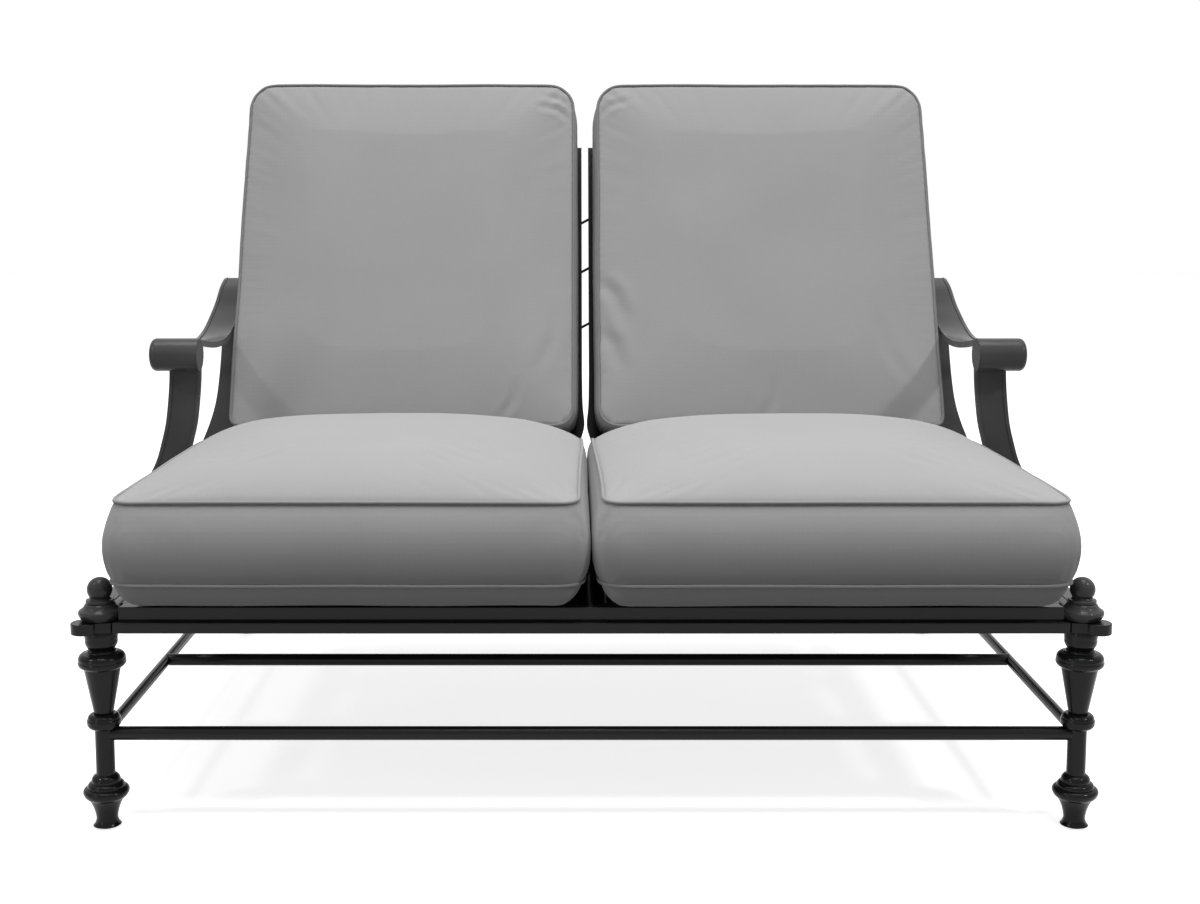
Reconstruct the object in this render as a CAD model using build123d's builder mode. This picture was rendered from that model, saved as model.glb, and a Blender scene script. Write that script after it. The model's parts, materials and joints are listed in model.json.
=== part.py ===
from build123d import *
import os
from math import cos, radians, sin, sqrt, tan

os.makedirs("parts", exist_ok=True)

# A two-seat garden sofa: a painted metal frame with four loose box cushions.
# Millimetres, +Z up. The origin is on the floor under the middle of the whole
# sofa, the front faces -Y, and left and right are as seen from the front.
# Depths are measured backwards from the axis of the front legs.

# Layout
leg_half_spacing = 667.0
base_depth = 780.0
glide_height = 3.0
rail_bottom = 278.0
rail_height = 15.0
frame_height = 19.0
rest_gap = 0.3
cut_overrun = 4.0
edge_round = 1.2

# Front legs, turned
leg_ring_radius = 31.6
glide_radius = 14.0
stud_radius = 4.0
stud_clearance = 0.2
leg_bore_depth = 52.0
finial_bore_depth = 28.0
stud_end_gap = 1.0
glide_stem_radius = 3.0
glide_stem_length = 14.0
stem_clearance = 0.1

# Rear legs, raked
rear_leg_rake = 168.0
rear_head_depth = 32.0
rear_foot_depth = 24.0
rear_leg_width = 30.0
rear_leg_bow = 27.0
rear_leg_fillet = 5.0
rear_bore_depth = 40.0
rear_stud_rise = 12.0

# Finials
finial_height = 58.0
finial_radius = 29.2
finial_ball_radius = 17.0
finial_air = 1.0

# Corner plates and rails
plate_half_width = 22.0
lobe_radius = 18.0
lobe_side_shift = 17.0
lobe_front_shift = 18.0
cove_radius = 7.0
frame_bar_width = 24.0
center_beam_width = 46.0
center_beam_rise = 8.0
cross_strap_width = 40.0
cross_strap_thickness = 6.0
slat_width = 45.0
slats_per_side = 6
slat_first = 44.0
slat_side_gap = 49.0

# Stretchers
stretcher_level = 132.0
front_stretcher_radius = 9.5
side_stretcher_radius = 8.0
cross_stretcher_radius = 9.3
cross_stretcher_depth = 337.0

# Arms
strap_width = 50.0
arm_setback = 370.0
strap_thickness = 8.0
rim_width = 5.5
rim_height = 1.5
arm_support_flare = 93.0
arm_strap_overhang = 2.0
roll_radius = 26.3
roll_ahead = 13.0
roll_center_level = 611.5
roll_inset = 51.0
roll_length = 76.5
roll_end_fillet = 9.0
band_thickness = 10.0
band_end_air = 12.7
band_rise = 87.0
band_end_radius = 14.0
foot_pad_length = 60.0
foot_pad_thickness = 8.0
foot_screw_spacing = 34.0

# Fastenings
screw_radius = 2.5
screw_clearance = 0.2
screw_head_radius = 5.0
screw_head_height = 3.4
screw_head_fillet = 1.2
foot_screw_length = 22.0
frame_screw_length = 26.0
frame_screw_sink = 2.6
frame_screw_inset = 120.0

# Seat cushions
seat_inner = 15.0
seat_side_gap = 39.0
seat_front_reach = 45.0
seat_tuck = 77.0
seat_thickness = 155.7
seat_crown = 47.0
seat_corner_radius = 32.0
seat_side_bulge = 20.0
seat_inner_bulge = 11.0
seat_front_bulge = 20.0

# Back cushions and the leaning back
back_lean = 23.0
back_setback = 202.0
back_lift = 20.0
back_inner = 13.0
back_side_gap = 57.0
back_length = 621.0
back_thickness = 150.0
back_crown = 22.0
back_top_corner = 45.0
back_foot_corner = 40.0
back_edge_radius = 26.0
back_foot_slope = 26.0
stile_top = 566.0
stile_inner_half_gap = 2.0
stile_flare = 36.0
stile_flare_length = 277.0
stile_head_inset = 34.0
inner_stile_width = 53.0
inner_stile_drop = 48.0
inner_flare = 15.0
inner_flare_length = 168.0
top_rail_height = 35.0
bottom_rail_height = 76.0
lattice_bar_width = 20.0
lattice_pitch = 92.0
lattice_inset = 30.0
link_radius = 2.35
link_length = 20.0
link_slope = 30.0
link_places_shares = (0.374, 0.565, 0.737)

# Outlines, as shares of the named sizes. A turning is listed from its foot:
# share of the height, share of the largest radius, outward bulge on the way.
leg_turning_shares = (
    (0.0, 0.601, 0.0), (0.043, 0.462, -0.045), (0.138, 0.756, -0.05),
    (0.169, 0.975, 0.04), (0.1945, 0.791, 0.075), (0.222, 0.62, 0.06),
    (0.2625, 0.405, 0.075), (0.498, 0.405, 0.0), (0.498, 0.43, 0.0),
    (0.531, 0.718, 0.1), (0.549, 0.69, 0.02), (0.572, 0.402, 0.09),
    (0.808, 0.785, 0.0), (0.811, 0.807, 0.0), (0.849, 1.0, 0.1),
    (0.8855, 0.728, 0.1), (0.89, 0.633, 0.0), (0.896, 0.617, 0.0),
    (0.905, 0.535, 0.0), (0.956, 0.69, 0.06), (1.0, 0.665, 0.025),
)
finial_turning_shares = (
    (0.0, 0.753, 0.0), (0.0586, 0.9075, 0.03), (0.1345, 1.0, 0.02),
    (0.2414, 0.925, 0.04), (0.362, 0.702, -0.03), (0.397, 0.616, 0.0),
    (0.431, 0.644, 0.02), (0.474, 0.616, 0.02), (0.518, 0.445, -0.03),
    (0.707, 0.445, 0.0),
)
# The arm band's top from the roll to the back: share of the run, of the rise.
band_line_shares = (
    (0.0, 0.2243), (0.0616, 0.169), (0.1445, 0.105), (0.2678, 0.031),
    (0.3934, 0.0), (0.5071, 0.0276), (0.6517, 0.2044), (0.7512, 0.4033),
    (0.8412, 0.6133), (0.9265, 0.8674), (1.0, 1.0), (1.054, 1.088),
)
# The front arm strap's outer edge: share of its height, share of the flare.
arm_edge_shares = (
    (0.0, 0.366), (0.127, 0.430), (0.244, 0.441), (0.334, 0.398),
    (0.397, 0.301), (0.464, 0.220), (0.531, 0.161), (0.594, 0.108),
    (0.725, 0.043), (0.88, 0.0), (1.0, 0.0),
)
# The outer stile's outer edge below the arm: share of the length, of the flare.
stile_edge_shares = (
    (0.0, 0.833), (0.116, 0.972), (0.242, 1.0), (0.35, 0.833),
    (0.513, 0.431), (0.671, 0.139), (0.837, 0.028), (1.0, 0.0),
)
# Above the arm it draws in behind the cushion: share of the stile's whole
# length, of the inset at its head.
stile_neck_shares = (
    (0.472, 0.0), (0.530, 0.09), (0.573, 0.353), (0.609, 0.706),
    (0.638, 0.912), (0.681, 0.985), (0.732, 1.0),
)
# The inner stile's gap edge near its foot: share of the length, of the flare.
inner_edge_shares = (
    (0.0, 1.0), (0.167, 0.667), (0.256, 0.44), (0.333, 0.173), (0.4286, 0.0),
    (0.5, 0.06), (0.571, 0.147), (0.762, 0.247), (1.0, 0.28),
)
# The seat cushion's crown, across its width and along its depth.
seat_cross_crown_shares = (
    (0.0, 0.0), (0.09, 0.617), (0.237, 0.915), (0.5, 1.0),
    (0.763, 0.915), (0.91, 0.617), (1.0, 0.0),
)
seat_long_crown_shares = (
    (0.0, 0.0), (0.093, 0.51), (0.25, 0.894), (0.507, 1.0),
    (0.75, 0.80), (0.893, 0.36), (0.965, 0.02), (1.0, -0.277),
)
seat_side_share = 0.55
seat_low_side_share = 0.15
seat_low_front_share = 0.12
seat_bottom_inset_share = 0.03

# Worked-out levels and places
rear_foot_reach = base_depth + rear_leg_rake
arm_strap_outside = leg_half_spacing + arm_strap_overhang
roll_inner_half_span = leg_half_spacing - roll_inset
arm_support_front = base_depth - arm_setback
roll_center_depth = arm_support_front - roll_ahead
seat_outer = leg_half_spacing - seat_side_gap
back_foot_depth = base_depth - back_setback
seat_back_depth = back_foot_depth + seat_tuck
back_outer = leg_half_spacing - back_side_gap
stile_outer_half_span = leg_half_spacing
slat_last = leg_half_spacing - slat_side_gap
inner_stile_foot = -inner_stile_drop
rail_top = rail_bottom + rail_height
frame_top = rail_top + frame_height
cushion_bottom = frame_top + rest_gap
seat_piping_level = cushion_bottom + seat_thickness
back_foot_level = seat_piping_level + back_lift
lean_sin = sin(radians(back_lean))
lean_cos = cos(radians(back_lean))
cushion_reach = (
    back_foot_depth + back_thickness * lean_cos + back_length * lean_sin
    - back_edge_radius * (lean_sin + lean_cos) + back_edge_radius
)
foot_reach = rear_foot_reach + rear_foot_depth / 2
front_leg_y = (seat_front_reach + seat_front_bulge - max(cushion_reach, foot_reach)) / 2
rear_head_y = front_leg_y + base_depth
leg_length = rail_bottom - glide_height
frame_half_width = frame_bar_width / 2
inside_half_width = leg_half_spacing - frame_half_width
slat_front_y = front_leg_y + frame_half_width
slat_back_y = rear_head_y - frame_half_width
stile_drop = (back_foot_level - back_thickness * lean_sin - frame_top) / lean_cos
sides = (("left", -1), ("right", 1))
up = (0, 0, 1)


def scaled(shares, start, width, level, height):
    """Points at these shares of a width and a height."""
    return [(start + width * a, level + height * b) for a, b in shares]


def draw_turning(shares, height, radius):
    """Draw a closed turned outline beside its axis, from the foot up."""
    foot_radius = radius * shares[0][1]
    Line((0, 0), (foot_radius, 0))
    for below, above in zip(shares, shares[1:]):
        start = (radius * below[1], height * below[0])
        end = (radius * above[1], height * above[0])
        if above[2]:
            SagittaArc(start, end, -radius * above[2])
        else:
            Line(start, end)
    Line((radius * shares[-1][1], height * shares[-1][0]), (0, height * shares[-1][0]))
    Line((0, height * shares[-1][0]), (0, 0))


def shifted_line(points, distance):
    """The same line moved this far below itself, square to its own run."""
    moved = []
    for here, behind, ahead in zip(points, points[:1] + points[:-1], points[1:] + points[-1:]):
        run = ahead[0] - behind[0]
        rise = ahead[1] - behind[1]
        length = sqrt(run * run + rise * rise)
        moved.append((here[0] + distance * rise / length, here[1] - distance * run / length))
    return moved


def upright_plane(x, y, z):
    """A drawing plane that faces the front, at this place."""
    return Plane(origin=(x, y, z), x_dir=(1, 0, 0), z_dir=(0, -1, 0))


def save(piece, label):
    """Name a finished piece and write it."""
    piece.label = label
    export_step(piece, f"parts/{label}.step")


# The plane of the leaning back: X stays X, its Y runs up the lean, and it
# faces the sitter. Offsets away from the sitter are negative.
back_front_plane = Plane(
    origin=(0, front_leg_y + back_foot_depth, back_foot_level),
    x_dir=(1, 0, 0), z_dir=(0, -lean_cos, lean_sin),
)
stile_plane = back_front_plane.offset(-back_thickness - rest_gap)


# Front legs: one turning each, with a blind bore for the stud above and one
# for the stem of the glide below.
for side_name, side in sides:
    leg_x = side * leg_half_spacing
    with BuildPart() as front_leg:
        with BuildSketch(upright_plane(leg_x, front_leg_y, glide_height)):
            with BuildLine():
                draw_turning(leg_turning_shares, leg_length, leg_ring_radius)
            make_face()
        revolve(axis=Axis((leg_x, front_leg_y, 0), up))
        with BuildSketch(Plane.XY.offset(rail_bottom)):
            with Locations((leg_x, front_leg_y)):
                Circle(stud_radius + stud_clearance)
        extrude(amount=-leg_bore_depth, mode=Mode.SUBTRACT)
        with BuildSketch(Plane.XY.offset(glide_height)):
            with Locations((leg_x, front_leg_y)):
                Circle(glide_stem_radius + stem_clearance)
        extrude(amount=glide_stem_length + stud_end_gap, mode=Mode.SUBTRACT)
    save(front_leg.part, f"front_leg_{side_name}")

# Rear legs: swept back so that the sofa can't tip when someone leans back.
rear_head_front = rear_head_y - rear_head_depth / 2
rear_head_back = rear_head_y + rear_head_depth / 2
rear_foot_y = front_leg_y + rear_foot_reach
rear_foot_front = rear_foot_y - rear_foot_depth / 2
rear_foot_back = rear_foot_y + rear_foot_depth / 2
middle_level = (rail_bottom + glide_height) / 2
for side_name, side in sides:
    leg_x = side * leg_half_spacing
    with BuildPart() as rear_leg:
        with BuildSketch(Plane.YZ.offset(leg_x - rear_leg_width / 2)):
            with BuildLine():
                Line((rear_head_front, rail_bottom), (rear_head_back, rail_bottom))
                ThreePointArc(
                    (rear_head_back, rail_bottom),
                    ((rear_head_back + rear_foot_back) / 2 - rear_leg_bow, middle_level),
                    (rear_foot_back, glide_height),
                )
                Line((rear_foot_back, glide_height), (rear_foot_front, glide_height))
                ThreePointArc(
                    (rear_foot_front, glide_height),
                    ((rear_head_front + rear_foot_front) / 2 - rear_leg_bow, middle_level),
                    (rear_head_front, rail_bottom),
                )
            make_face()
        extrude(amount=rear_leg_width)
        curved_edges = rear_leg.edges().filter_by(GeomType.CIRCLE)
        fillet(curved_edges, radius=rear_leg_fillet)
        with BuildSketch(Plane.XY.offset(rail_bottom)):
            with Locations((leg_x, rear_head_y)):
                Circle(stud_radius + stud_clearance)
        extrude(amount=-rear_bore_depth, mode=Mode.SUBTRACT)
        with BuildSketch(Plane.XY.offset(glide_height)):
            with Locations((leg_x, rear_foot_y)):
                Circle(glide_stem_radius + stem_clearance)
        extrude(amount=glide_stem_length + stud_end_gap, mode=Mode.SUBTRACT)
    save(rear_leg.part, f"rear_leg_{side_name}")

# Foot glides: four nylon discs on stems.
glide_places = [(s * leg_half_spacing, y) for s in (-1, 1) for y in (front_leg_y, rear_foot_y)]
with BuildPart() as foot_glides:
    with BuildSketch(Plane.XY):
        with Locations(*glide_places):
            Circle(min(glide_radius, rear_foot_depth / 2))
    extrude(amount=glide_height)
    with BuildSketch(Plane.XY.offset(glide_height)):
        with Locations(*glide_places):
            Circle(glide_stem_radius)
    extrude(amount=glide_stem_length)
save(foot_glides.part, "foot_glides")

# Corner plates: a square block over each leg with a round lobe at its outer
# corner and a small cove where the lobe meets the square.
corners = [
    (end_name, end, side_name, side)
    for end_name, end in (("front", -1), ("rear", 1)) for side_name, side in sides
]
for end_name, end, side_name, side in corners:
    plate_x = side * leg_half_spacing
    plate_y = front_leg_y if end < 0 else rear_head_y
    lobe_place = (plate_x + side * lobe_side_shift, plate_y + end * lobe_front_shift)
    with BuildPart() as corner_plate:
        with BuildSketch(Plane.XY.offset(rail_bottom)) as plate_sketch:
            with Locations((plate_x, plate_y)):
                Rectangle(2 * plate_half_width, 2 * plate_half_width)
            with Locations(lobe_place):
                Circle(lobe_radius)
            coves = plate_sketch.vertices().sort_by_distance((*lobe_place, rail_bottom))
            coves = [v for v in coves if abs(v.X - plate_x) <= plate_half_width]
            coves = [v for v in coves if abs(v.Y - plate_y) <= plate_half_width]
            fillet(coves[:2], radius=cove_radius)
            with Locations((plate_x, plate_y)):
                Circle(stud_radius + stud_clearance, mode=Mode.SUBTRACT)
        extrude(amount=rail_height)
        rims = corner_plate.edges().group_by(Axis.Z)
        outline = [
            edge for edge in rims[0] + rims[-1]
            if edge.geom_type != GeomType.CIRCLE or edge.radius > stud_radius + rest_gap
        ]
        fillet(outline, radius=edge_round)
    save(corner_plate.part, f"corner_plate_{end_name}_{side_name}")

# Screws that join the lower rails to the seat frame from below: places on the
# front and rear rails, then on the two side rails.
inset_x = leg_half_spacing - frame_screw_inset
side_screw_front = front_leg_y + frame_screw_inset
side_screw_back = rear_head_y - frame_screw_inset
cross_screws = [(x, y) for x in (-inset_x, inset_x) for y in (front_leg_y, rear_head_y)]
side_screws = [
    (s * leg_half_spacing, y) for s in (-1, 1) for y in (side_screw_front, side_screw_back)
]
screw_bore = screw_radius + screw_clearance
head_bore = screw_head_radius + screw_clearance
screw_top = rail_bottom + frame_screw_length

# Lower rails, between the corner plates, with their long edges rounded a little.
rail_half_span = leg_half_spacing - plate_half_width
for end_name, rail_y in (("front", front_leg_y), ("rear", rear_head_y)):
    places = [place for place in cross_screws if place[1] == rail_y]
    with BuildPart() as base_rail:
        with BuildSketch(Plane.XY.offset(rail_bottom)):
            with Locations((0, rail_y)):
                Rectangle(2 * rail_half_span, 2 * plate_half_width)
            with Locations(*places):
                Circle(screw_bore, mode=Mode.SUBTRACT)
        extrude(amount=rail_height)
        fillet(base_rail.edges().filter_by(Axis.X), radius=edge_round)
        with BuildSketch(Plane.XY.offset(rail_bottom)):
            with Locations(*places):
                Circle(head_bore)
        extrude(amount=frame_screw_sink + screw_clearance, mode=Mode.SUBTRACT)
    save(base_rail.part, f"base_rail_{end_name}")
side_rail_length = base_depth - 2 * plate_half_width
middle_y = (front_leg_y + rear_head_y) / 2
for side_name, side in sides:
    places = [place for place in side_screws if place[0] == side * leg_half_spacing]
    with BuildPart() as base_rail:
        with BuildSketch(Plane.XY.offset(rail_bottom)):
            with Locations((side * leg_half_spacing, middle_y)):
                Rectangle(2 * plate_half_width, side_rail_length)
            with Locations(*places):
                Circle(screw_bore, mode=Mode.SUBTRACT)
        extrude(amount=rail_height)
        fillet(base_rail.edges().filter_by(Axis.Y), radius=edge_round)
        with BuildSketch(Plane.XY.offset(rail_bottom)):
            with Locations(*places):
                Circle(head_bore)
        extrude(amount=frame_screw_sink + screw_clearance, mode=Mode.SUBTRACT)
    save(base_rail.part, f"base_rail_{side_name}")

# Seat frame: slimmer bars on the rails. The front bar and the side bars are
# coped round the foot of each finial.
finial_bore = finial_radius + finial_air
screw_bore_top = screw_top + stud_end_gap
for end_name, bar_y in (("front", front_leg_y), ("rear", rear_head_y)):
    places = [place for place in cross_screws if place[1] == bar_y]
    with BuildPart() as seat_frame_bar:
        with BuildSketch(Plane.XY.offset(rail_top)):
            with Locations((0, bar_y)):
                Rectangle(2 * inside_half_width, frame_bar_width)
            if end_name == "front":
                with Locations((-leg_half_spacing, bar_y), (leg_half_spacing, bar_y)):
                    Circle(finial_bore, mode=Mode.SUBTRACT)
        extrude(amount=frame_height)
        fillet(seat_frame_bar.edges().filter_by(Axis.X), radius=edge_round)
        with BuildSketch(Plane.XY.offset(rail_top)):
            with Locations(*places):
                Circle(screw_bore)
        extrude(amount=screw_bore_top - rail_top, mode=Mode.SUBTRACT)
    save(seat_frame_bar.part, f"seat_frame_{end_name}")
side_bar_front = front_leg_y + frame_half_width
side_bar_back = rear_head_y + frame_half_width
side_bar_length = side_bar_back - side_bar_front
stile_foot_y = front_leg_y + back_foot_depth + back_thickness * lean_cos
stile_foot_y = stile_foot_y + rest_gap * lean_cos - stile_drop * lean_sin
stile_pad_y = stile_foot_y + (strap_thickness + foot_pad_length) / 2
arm_pad_y = front_leg_y + arm_support_front + strap_thickness / 2
stile_screws = [stile_pad_y + strap_thickness, stile_pad_y + foot_screw_spacing - strap_thickness]
arm_screws = [arm_pad_y - foot_screw_spacing / 2, arm_pad_y + foot_screw_spacing / 2]
foot_screw_bottom = frame_top + foot_pad_thickness - foot_screw_length
for side_name, side in sides:
    bar_x = side * leg_half_spacing
    places = [place for place in side_screws if place[0] == bar_x]
    with BuildPart() as seat_frame_bar:
        with BuildSketch(Plane.XY.offset(rail_top)):
            with Locations((bar_x, (side_bar_front + side_bar_back) / 2)):
                Rectangle(frame_bar_width, side_bar_length)
            with Locations((bar_x, front_leg_y)):
                Circle(finial_bore, mode=Mode.SUBTRACT)
        extrude(amount=frame_height)
        fillet(seat_frame_bar.edges().filter_by(Axis.Y), radius=edge_round)
        with BuildSketch(Plane.XY.offset(rail_top)):
            with Locations(*places):
                Circle(screw_bore)
        extrude(amount=screw_bore_top - rail_top, mode=Mode.SUBTRACT)
        with BuildSketch(Plane.XY.offset(rail_top)):
            with Locations((bar_x, rear_head_y)):
                Circle(stud_radius + stud_clearance)
        extrude(amount=rear_stud_rise + stud_end_gap, mode=Mode.SUBTRACT)
        with BuildSketch(Plane.XY.offset(frame_top)):
            with Locations(*[(bar_x, y) for y in arm_screws + stile_screws]):
                Circle(screw_bore)
        extrude(amount=foot_screw_bottom - frame_top - stud_end_gap, mode=Mode.SUBTRACT)
    save(seat_frame_bar.part, f"seat_frame_{side_name}")

# The deck that carries the seat cushions: a centre beam between the lower
# rails, two straps across it, and slats from front to back on the straps.
with BuildPart() as center_beam:
    with BuildSketch(Plane.XY.offset(rail_bottom)):
        with Locations((0, middle_y)):
            Rectangle(center_beam_width, side_rail_length)
    extrude(amount=rail_height + center_beam_rise)
save(center_beam.part, "center_beam")
strap_bottom = rail_top + center_beam_rise
for end_name, strap_y in (
    ("front", front_leg_y + base_depth / 3), ("rear", front_leg_y + base_depth * 2 / 3),
):
    with BuildPart() as deck_strap:
        with BuildSketch(Plane.XY.offset(strap_bottom)):
            with Locations((0, strap_y)):
                Rectangle(2 * inside_half_width, cross_strap_width)
        extrude(amount=cross_strap_thickness)
    save(deck_strap.part, f"deck_strap_{end_name}")
slat_step = (slat_last - slat_first) / (slats_per_side - 1)
for side_name, side in sides:
    slat_places = [
        (side * (slat_first + slat_step * i), middle_y) for i in range(slats_per_side)
    ]
    with BuildPart() as seat_slats:
        with BuildSketch(Plane.XY.offset(strap_bottom + cross_strap_thickness)):
            with Locations(*slat_places):
                Rectangle(slat_width, slat_back_y - slat_front_y)
        extrude(amount=frame_top - strap_bottom - cross_strap_thickness)
    save(seat_slats.part, f"seat_slats_{side_name}")

# Finials: a bell and a ball over each front leg, bored for the stud.
for side_name, side in sides:
    finial_x = side * leg_half_spacing
    with BuildPart() as finial:
        with BuildSketch(upright_plane(finial_x, front_leg_y, rail_top)):
            with BuildLine():
                draw_turning(finial_turning_shares, finial_height, finial_radius)
            make_face()
        revolve(axis=Axis((finial_x, front_leg_y, 0), up))
        with Locations((finial_x, front_leg_y, rail_top + finial_height - finial_ball_radius)):
            Sphere(finial_ball_radius)
        with BuildSketch(Plane.XY.offset(rail_top)):
            with Locations((finial_x, front_leg_y)):
                Circle(stud_radius + stud_clearance)
        extrude(amount=finial_bore_depth, mode=Mode.SUBTRACT)
    save(finial.part, f"finial_{side_name}")

# Studs: threaded rods that hold leg, plate and finial, or leg, plate and bar.
with BuildPart() as leg_studs:
    with BuildSketch(Plane.XY.offset(rail_bottom - leg_bore_depth + stud_end_gap)):
        with Locations((-leg_half_spacing, front_leg_y), (leg_half_spacing, front_leg_y)):
            Circle(stud_radius)
    extrude(amount=leg_bore_depth + rail_height + finial_bore_depth - 2 * stud_end_gap)
    with BuildSketch(Plane.XY.offset(rail_bottom - rear_bore_depth + stud_end_gap)):
        with Locations((-leg_half_spacing, rear_head_y), (leg_half_spacing, rear_head_y)):
            Circle(stud_radius)
    extrude(amount=rear_bore_depth + rail_height + rear_stud_rise - stud_end_gap)
save(leg_studs.part, "leg_studs")

# Stretchers: round bars low between the legs, coped to what they meet.
with BuildPart() as front_post:
    with BuildSketch(upright_plane(leg_half_spacing, front_leg_y, glide_height)):
        with BuildLine():
            draw_turning(leg_turning_shares, leg_length, leg_ring_radius)
        make_face()
    revolve(axis=Axis((leg_half_spacing, front_leg_y, 0), up))
front_post_right = front_post.part
front_post_left = mirror(front_post_right, about=Plane.YZ)
front_stretcher_plane = Plane(
    origin=(-leg_half_spacing, front_leg_y, stretcher_level), x_dir=(0, 1, 0), z_dir=(1, 0, 0)
)
with BuildPart() as front_stretcher:
    with BuildSketch(front_stretcher_plane):
        Circle(front_stretcher_radius)
    extrude(amount=2 * leg_half_spacing)
    add(front_post_right, mode=Mode.SUBTRACT)
    add(front_post_left, mode=Mode.SUBTRACT)
save(front_stretcher.part, "front_stretcher")
for side_name, side in sides:
    stretcher_plane = upright_plane(side * leg_half_spacing, front_leg_y, stretcher_level)
    with BuildPart() as rear_post:
        with BuildSketch(Plane.YZ.offset(side * leg_half_spacing - rear_leg_width)):
            with BuildLine():
                Line((rear_foot_back, rail_bottom), (rear_foot_back, glide_height))
                Line((rear_foot_back, glide_height), (rear_foot_front, glide_height))
                ThreePointArc(
                    (rear_foot_front, glide_height),
                    ((rear_head_front + rear_foot_front) / 2 - rear_leg_bow, middle_level),
                    (rear_head_front, rail_bottom),
                )
                Line((rear_head_front, rail_bottom), (rear_foot_back, rail_bottom))
            make_face()
        extrude(amount=2 * rear_leg_width)
    with BuildPart() as side_stretcher:
        with BuildSketch(stretcher_plane):
            Circle(side_stretcher_radius)
        extrude(amount=-rear_foot_reach)
        add(front_post_right if side > 0 else front_post_left, mode=Mode.SUBTRACT)
        add(rear_post.part, mode=Mode.SUBTRACT)
    save(side_stretcher.part, f"side_stretcher_{side_name}")
cross_stretcher_plane = Plane(
    origin=(-leg_half_spacing, front_leg_y + cross_stretcher_depth, stretcher_level),
    x_dir=(0, 1, 0), z_dir=(1, 0, 0),
)
with BuildPart() as cross_stretcher:
    with BuildSketch(cross_stretcher_plane):
        Circle(cross_stretcher_radius)
    extrude(amount=2 * leg_half_spacing)
    for side_name, side in sides:
        with BuildSketch(upright_plane(side * leg_half_spacing, front_leg_y, stretcher_level)):
            Circle(side_stretcher_radius)
        extrude(amount=-base_depth, mode=Mode.SUBTRACT)
    bars = cross_stretcher.solids().sort_by(SortBy.VOLUME)
cross_bar = bars[-1]
with BuildPart() as cross_stretcher:
    add(cross_bar)
save(cross_stretcher.part, "cross_stretcher")

# Arm rolls: short thick bars across the front of the arms, rounded outside.
roll_y = front_leg_y + roll_center_depth
roll_parts = {}
for side_name, side in sides:
    roll_plane = Plane(
        origin=(side * roll_inner_half_span, roll_y, roll_center_level),
        x_dir=(0, side, 0), z_dir=(side, 0, 0),
    )
    with BuildPart() as arm_roll:
        with BuildSketch(roll_plane):
            Circle(roll_radius)
        extrude(amount=roll_length)
        outer_face = arm_roll.faces().sort_by(Axis.X)[-1 if side > 0 else 0]
        inner_face = arm_roll.faces().sort_by(Axis.X)[0 if side > 0 else -1]
        fillet(outer_face.edges(), radius=roll_end_fillet)
        fillet(inner_face.edges(), radius=rim_height)
    roll_parts[side_name] = arm_roll.part
    save(arm_roll.part, f"arm_roll_{side_name}")

# Front arm straps: flat bars that stand on the seat frame, flare outwards past
# the cushion and die into the roll. Both edges carry a raised rim.
strap_foot = frame_top
arm_strap_height = roll_center_level - strap_foot
arm_straps = {}
for side_name, side in sides:
    outer_edge = [
        (side * (arm_strap_outside + arm_support_flare * b), strap_foot + arm_strap_height * a)
        for a, b in arm_edge_shares
    ]
    inner_edge = [(x - side * strap_width, z) for x, z in outer_edge]
    rim_outer = [(x - side * rim_width, z) for x, z in outer_edge]
    rim_inner = [(x + side * rim_width, z) for x, z in inner_edge]
    strap_face_y = front_leg_y + arm_support_front
    with BuildPart() as arm_support:
        with BuildSketch(upright_plane(0, strap_face_y, 0)):
            with BuildLine():
                Spline(*outer_edge)
                Line(outer_edge[-1], inner_edge[-1])
                Spline(*reversed(inner_edge))
                Line(inner_edge[0], outer_edge[0])
            make_face()
        extrude(amount=-strap_thickness)
        with BuildSketch(upright_plane(0, strap_face_y, 0)):
            with BuildLine():
                Spline(*rim_outer)
                Line(rim_outer[-1], rim_inner[-1])
                Spline(*reversed(rim_inner))
                Line(rim_inner[0], rim_outer[0])
            make_face()
        extrude(amount=-rim_height, mode=Mode.SUBTRACT)
        with BuildSketch(Plane.XY.offset(frame_top)):
            with Locations((side * leg_half_spacing, arm_pad_y)):
                Rectangle(frame_bar_width, foot_pad_length)
        extrude(amount=foot_pad_thickness)
        with BuildSketch(Plane.XY.offset(frame_top)):
            with Locations(*[(side * leg_half_spacing, y) for y in arm_screws]):
                Circle(screw_bore)
        extrude(amount=foot_pad_thickness, mode=Mode.SUBTRACT)
        add(roll_parts[side_name], mode=Mode.SUBTRACT)
    arm_straps[side_name] = arm_support.part
    save(arm_support.part, f"arm_support_{side_name}")

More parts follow.
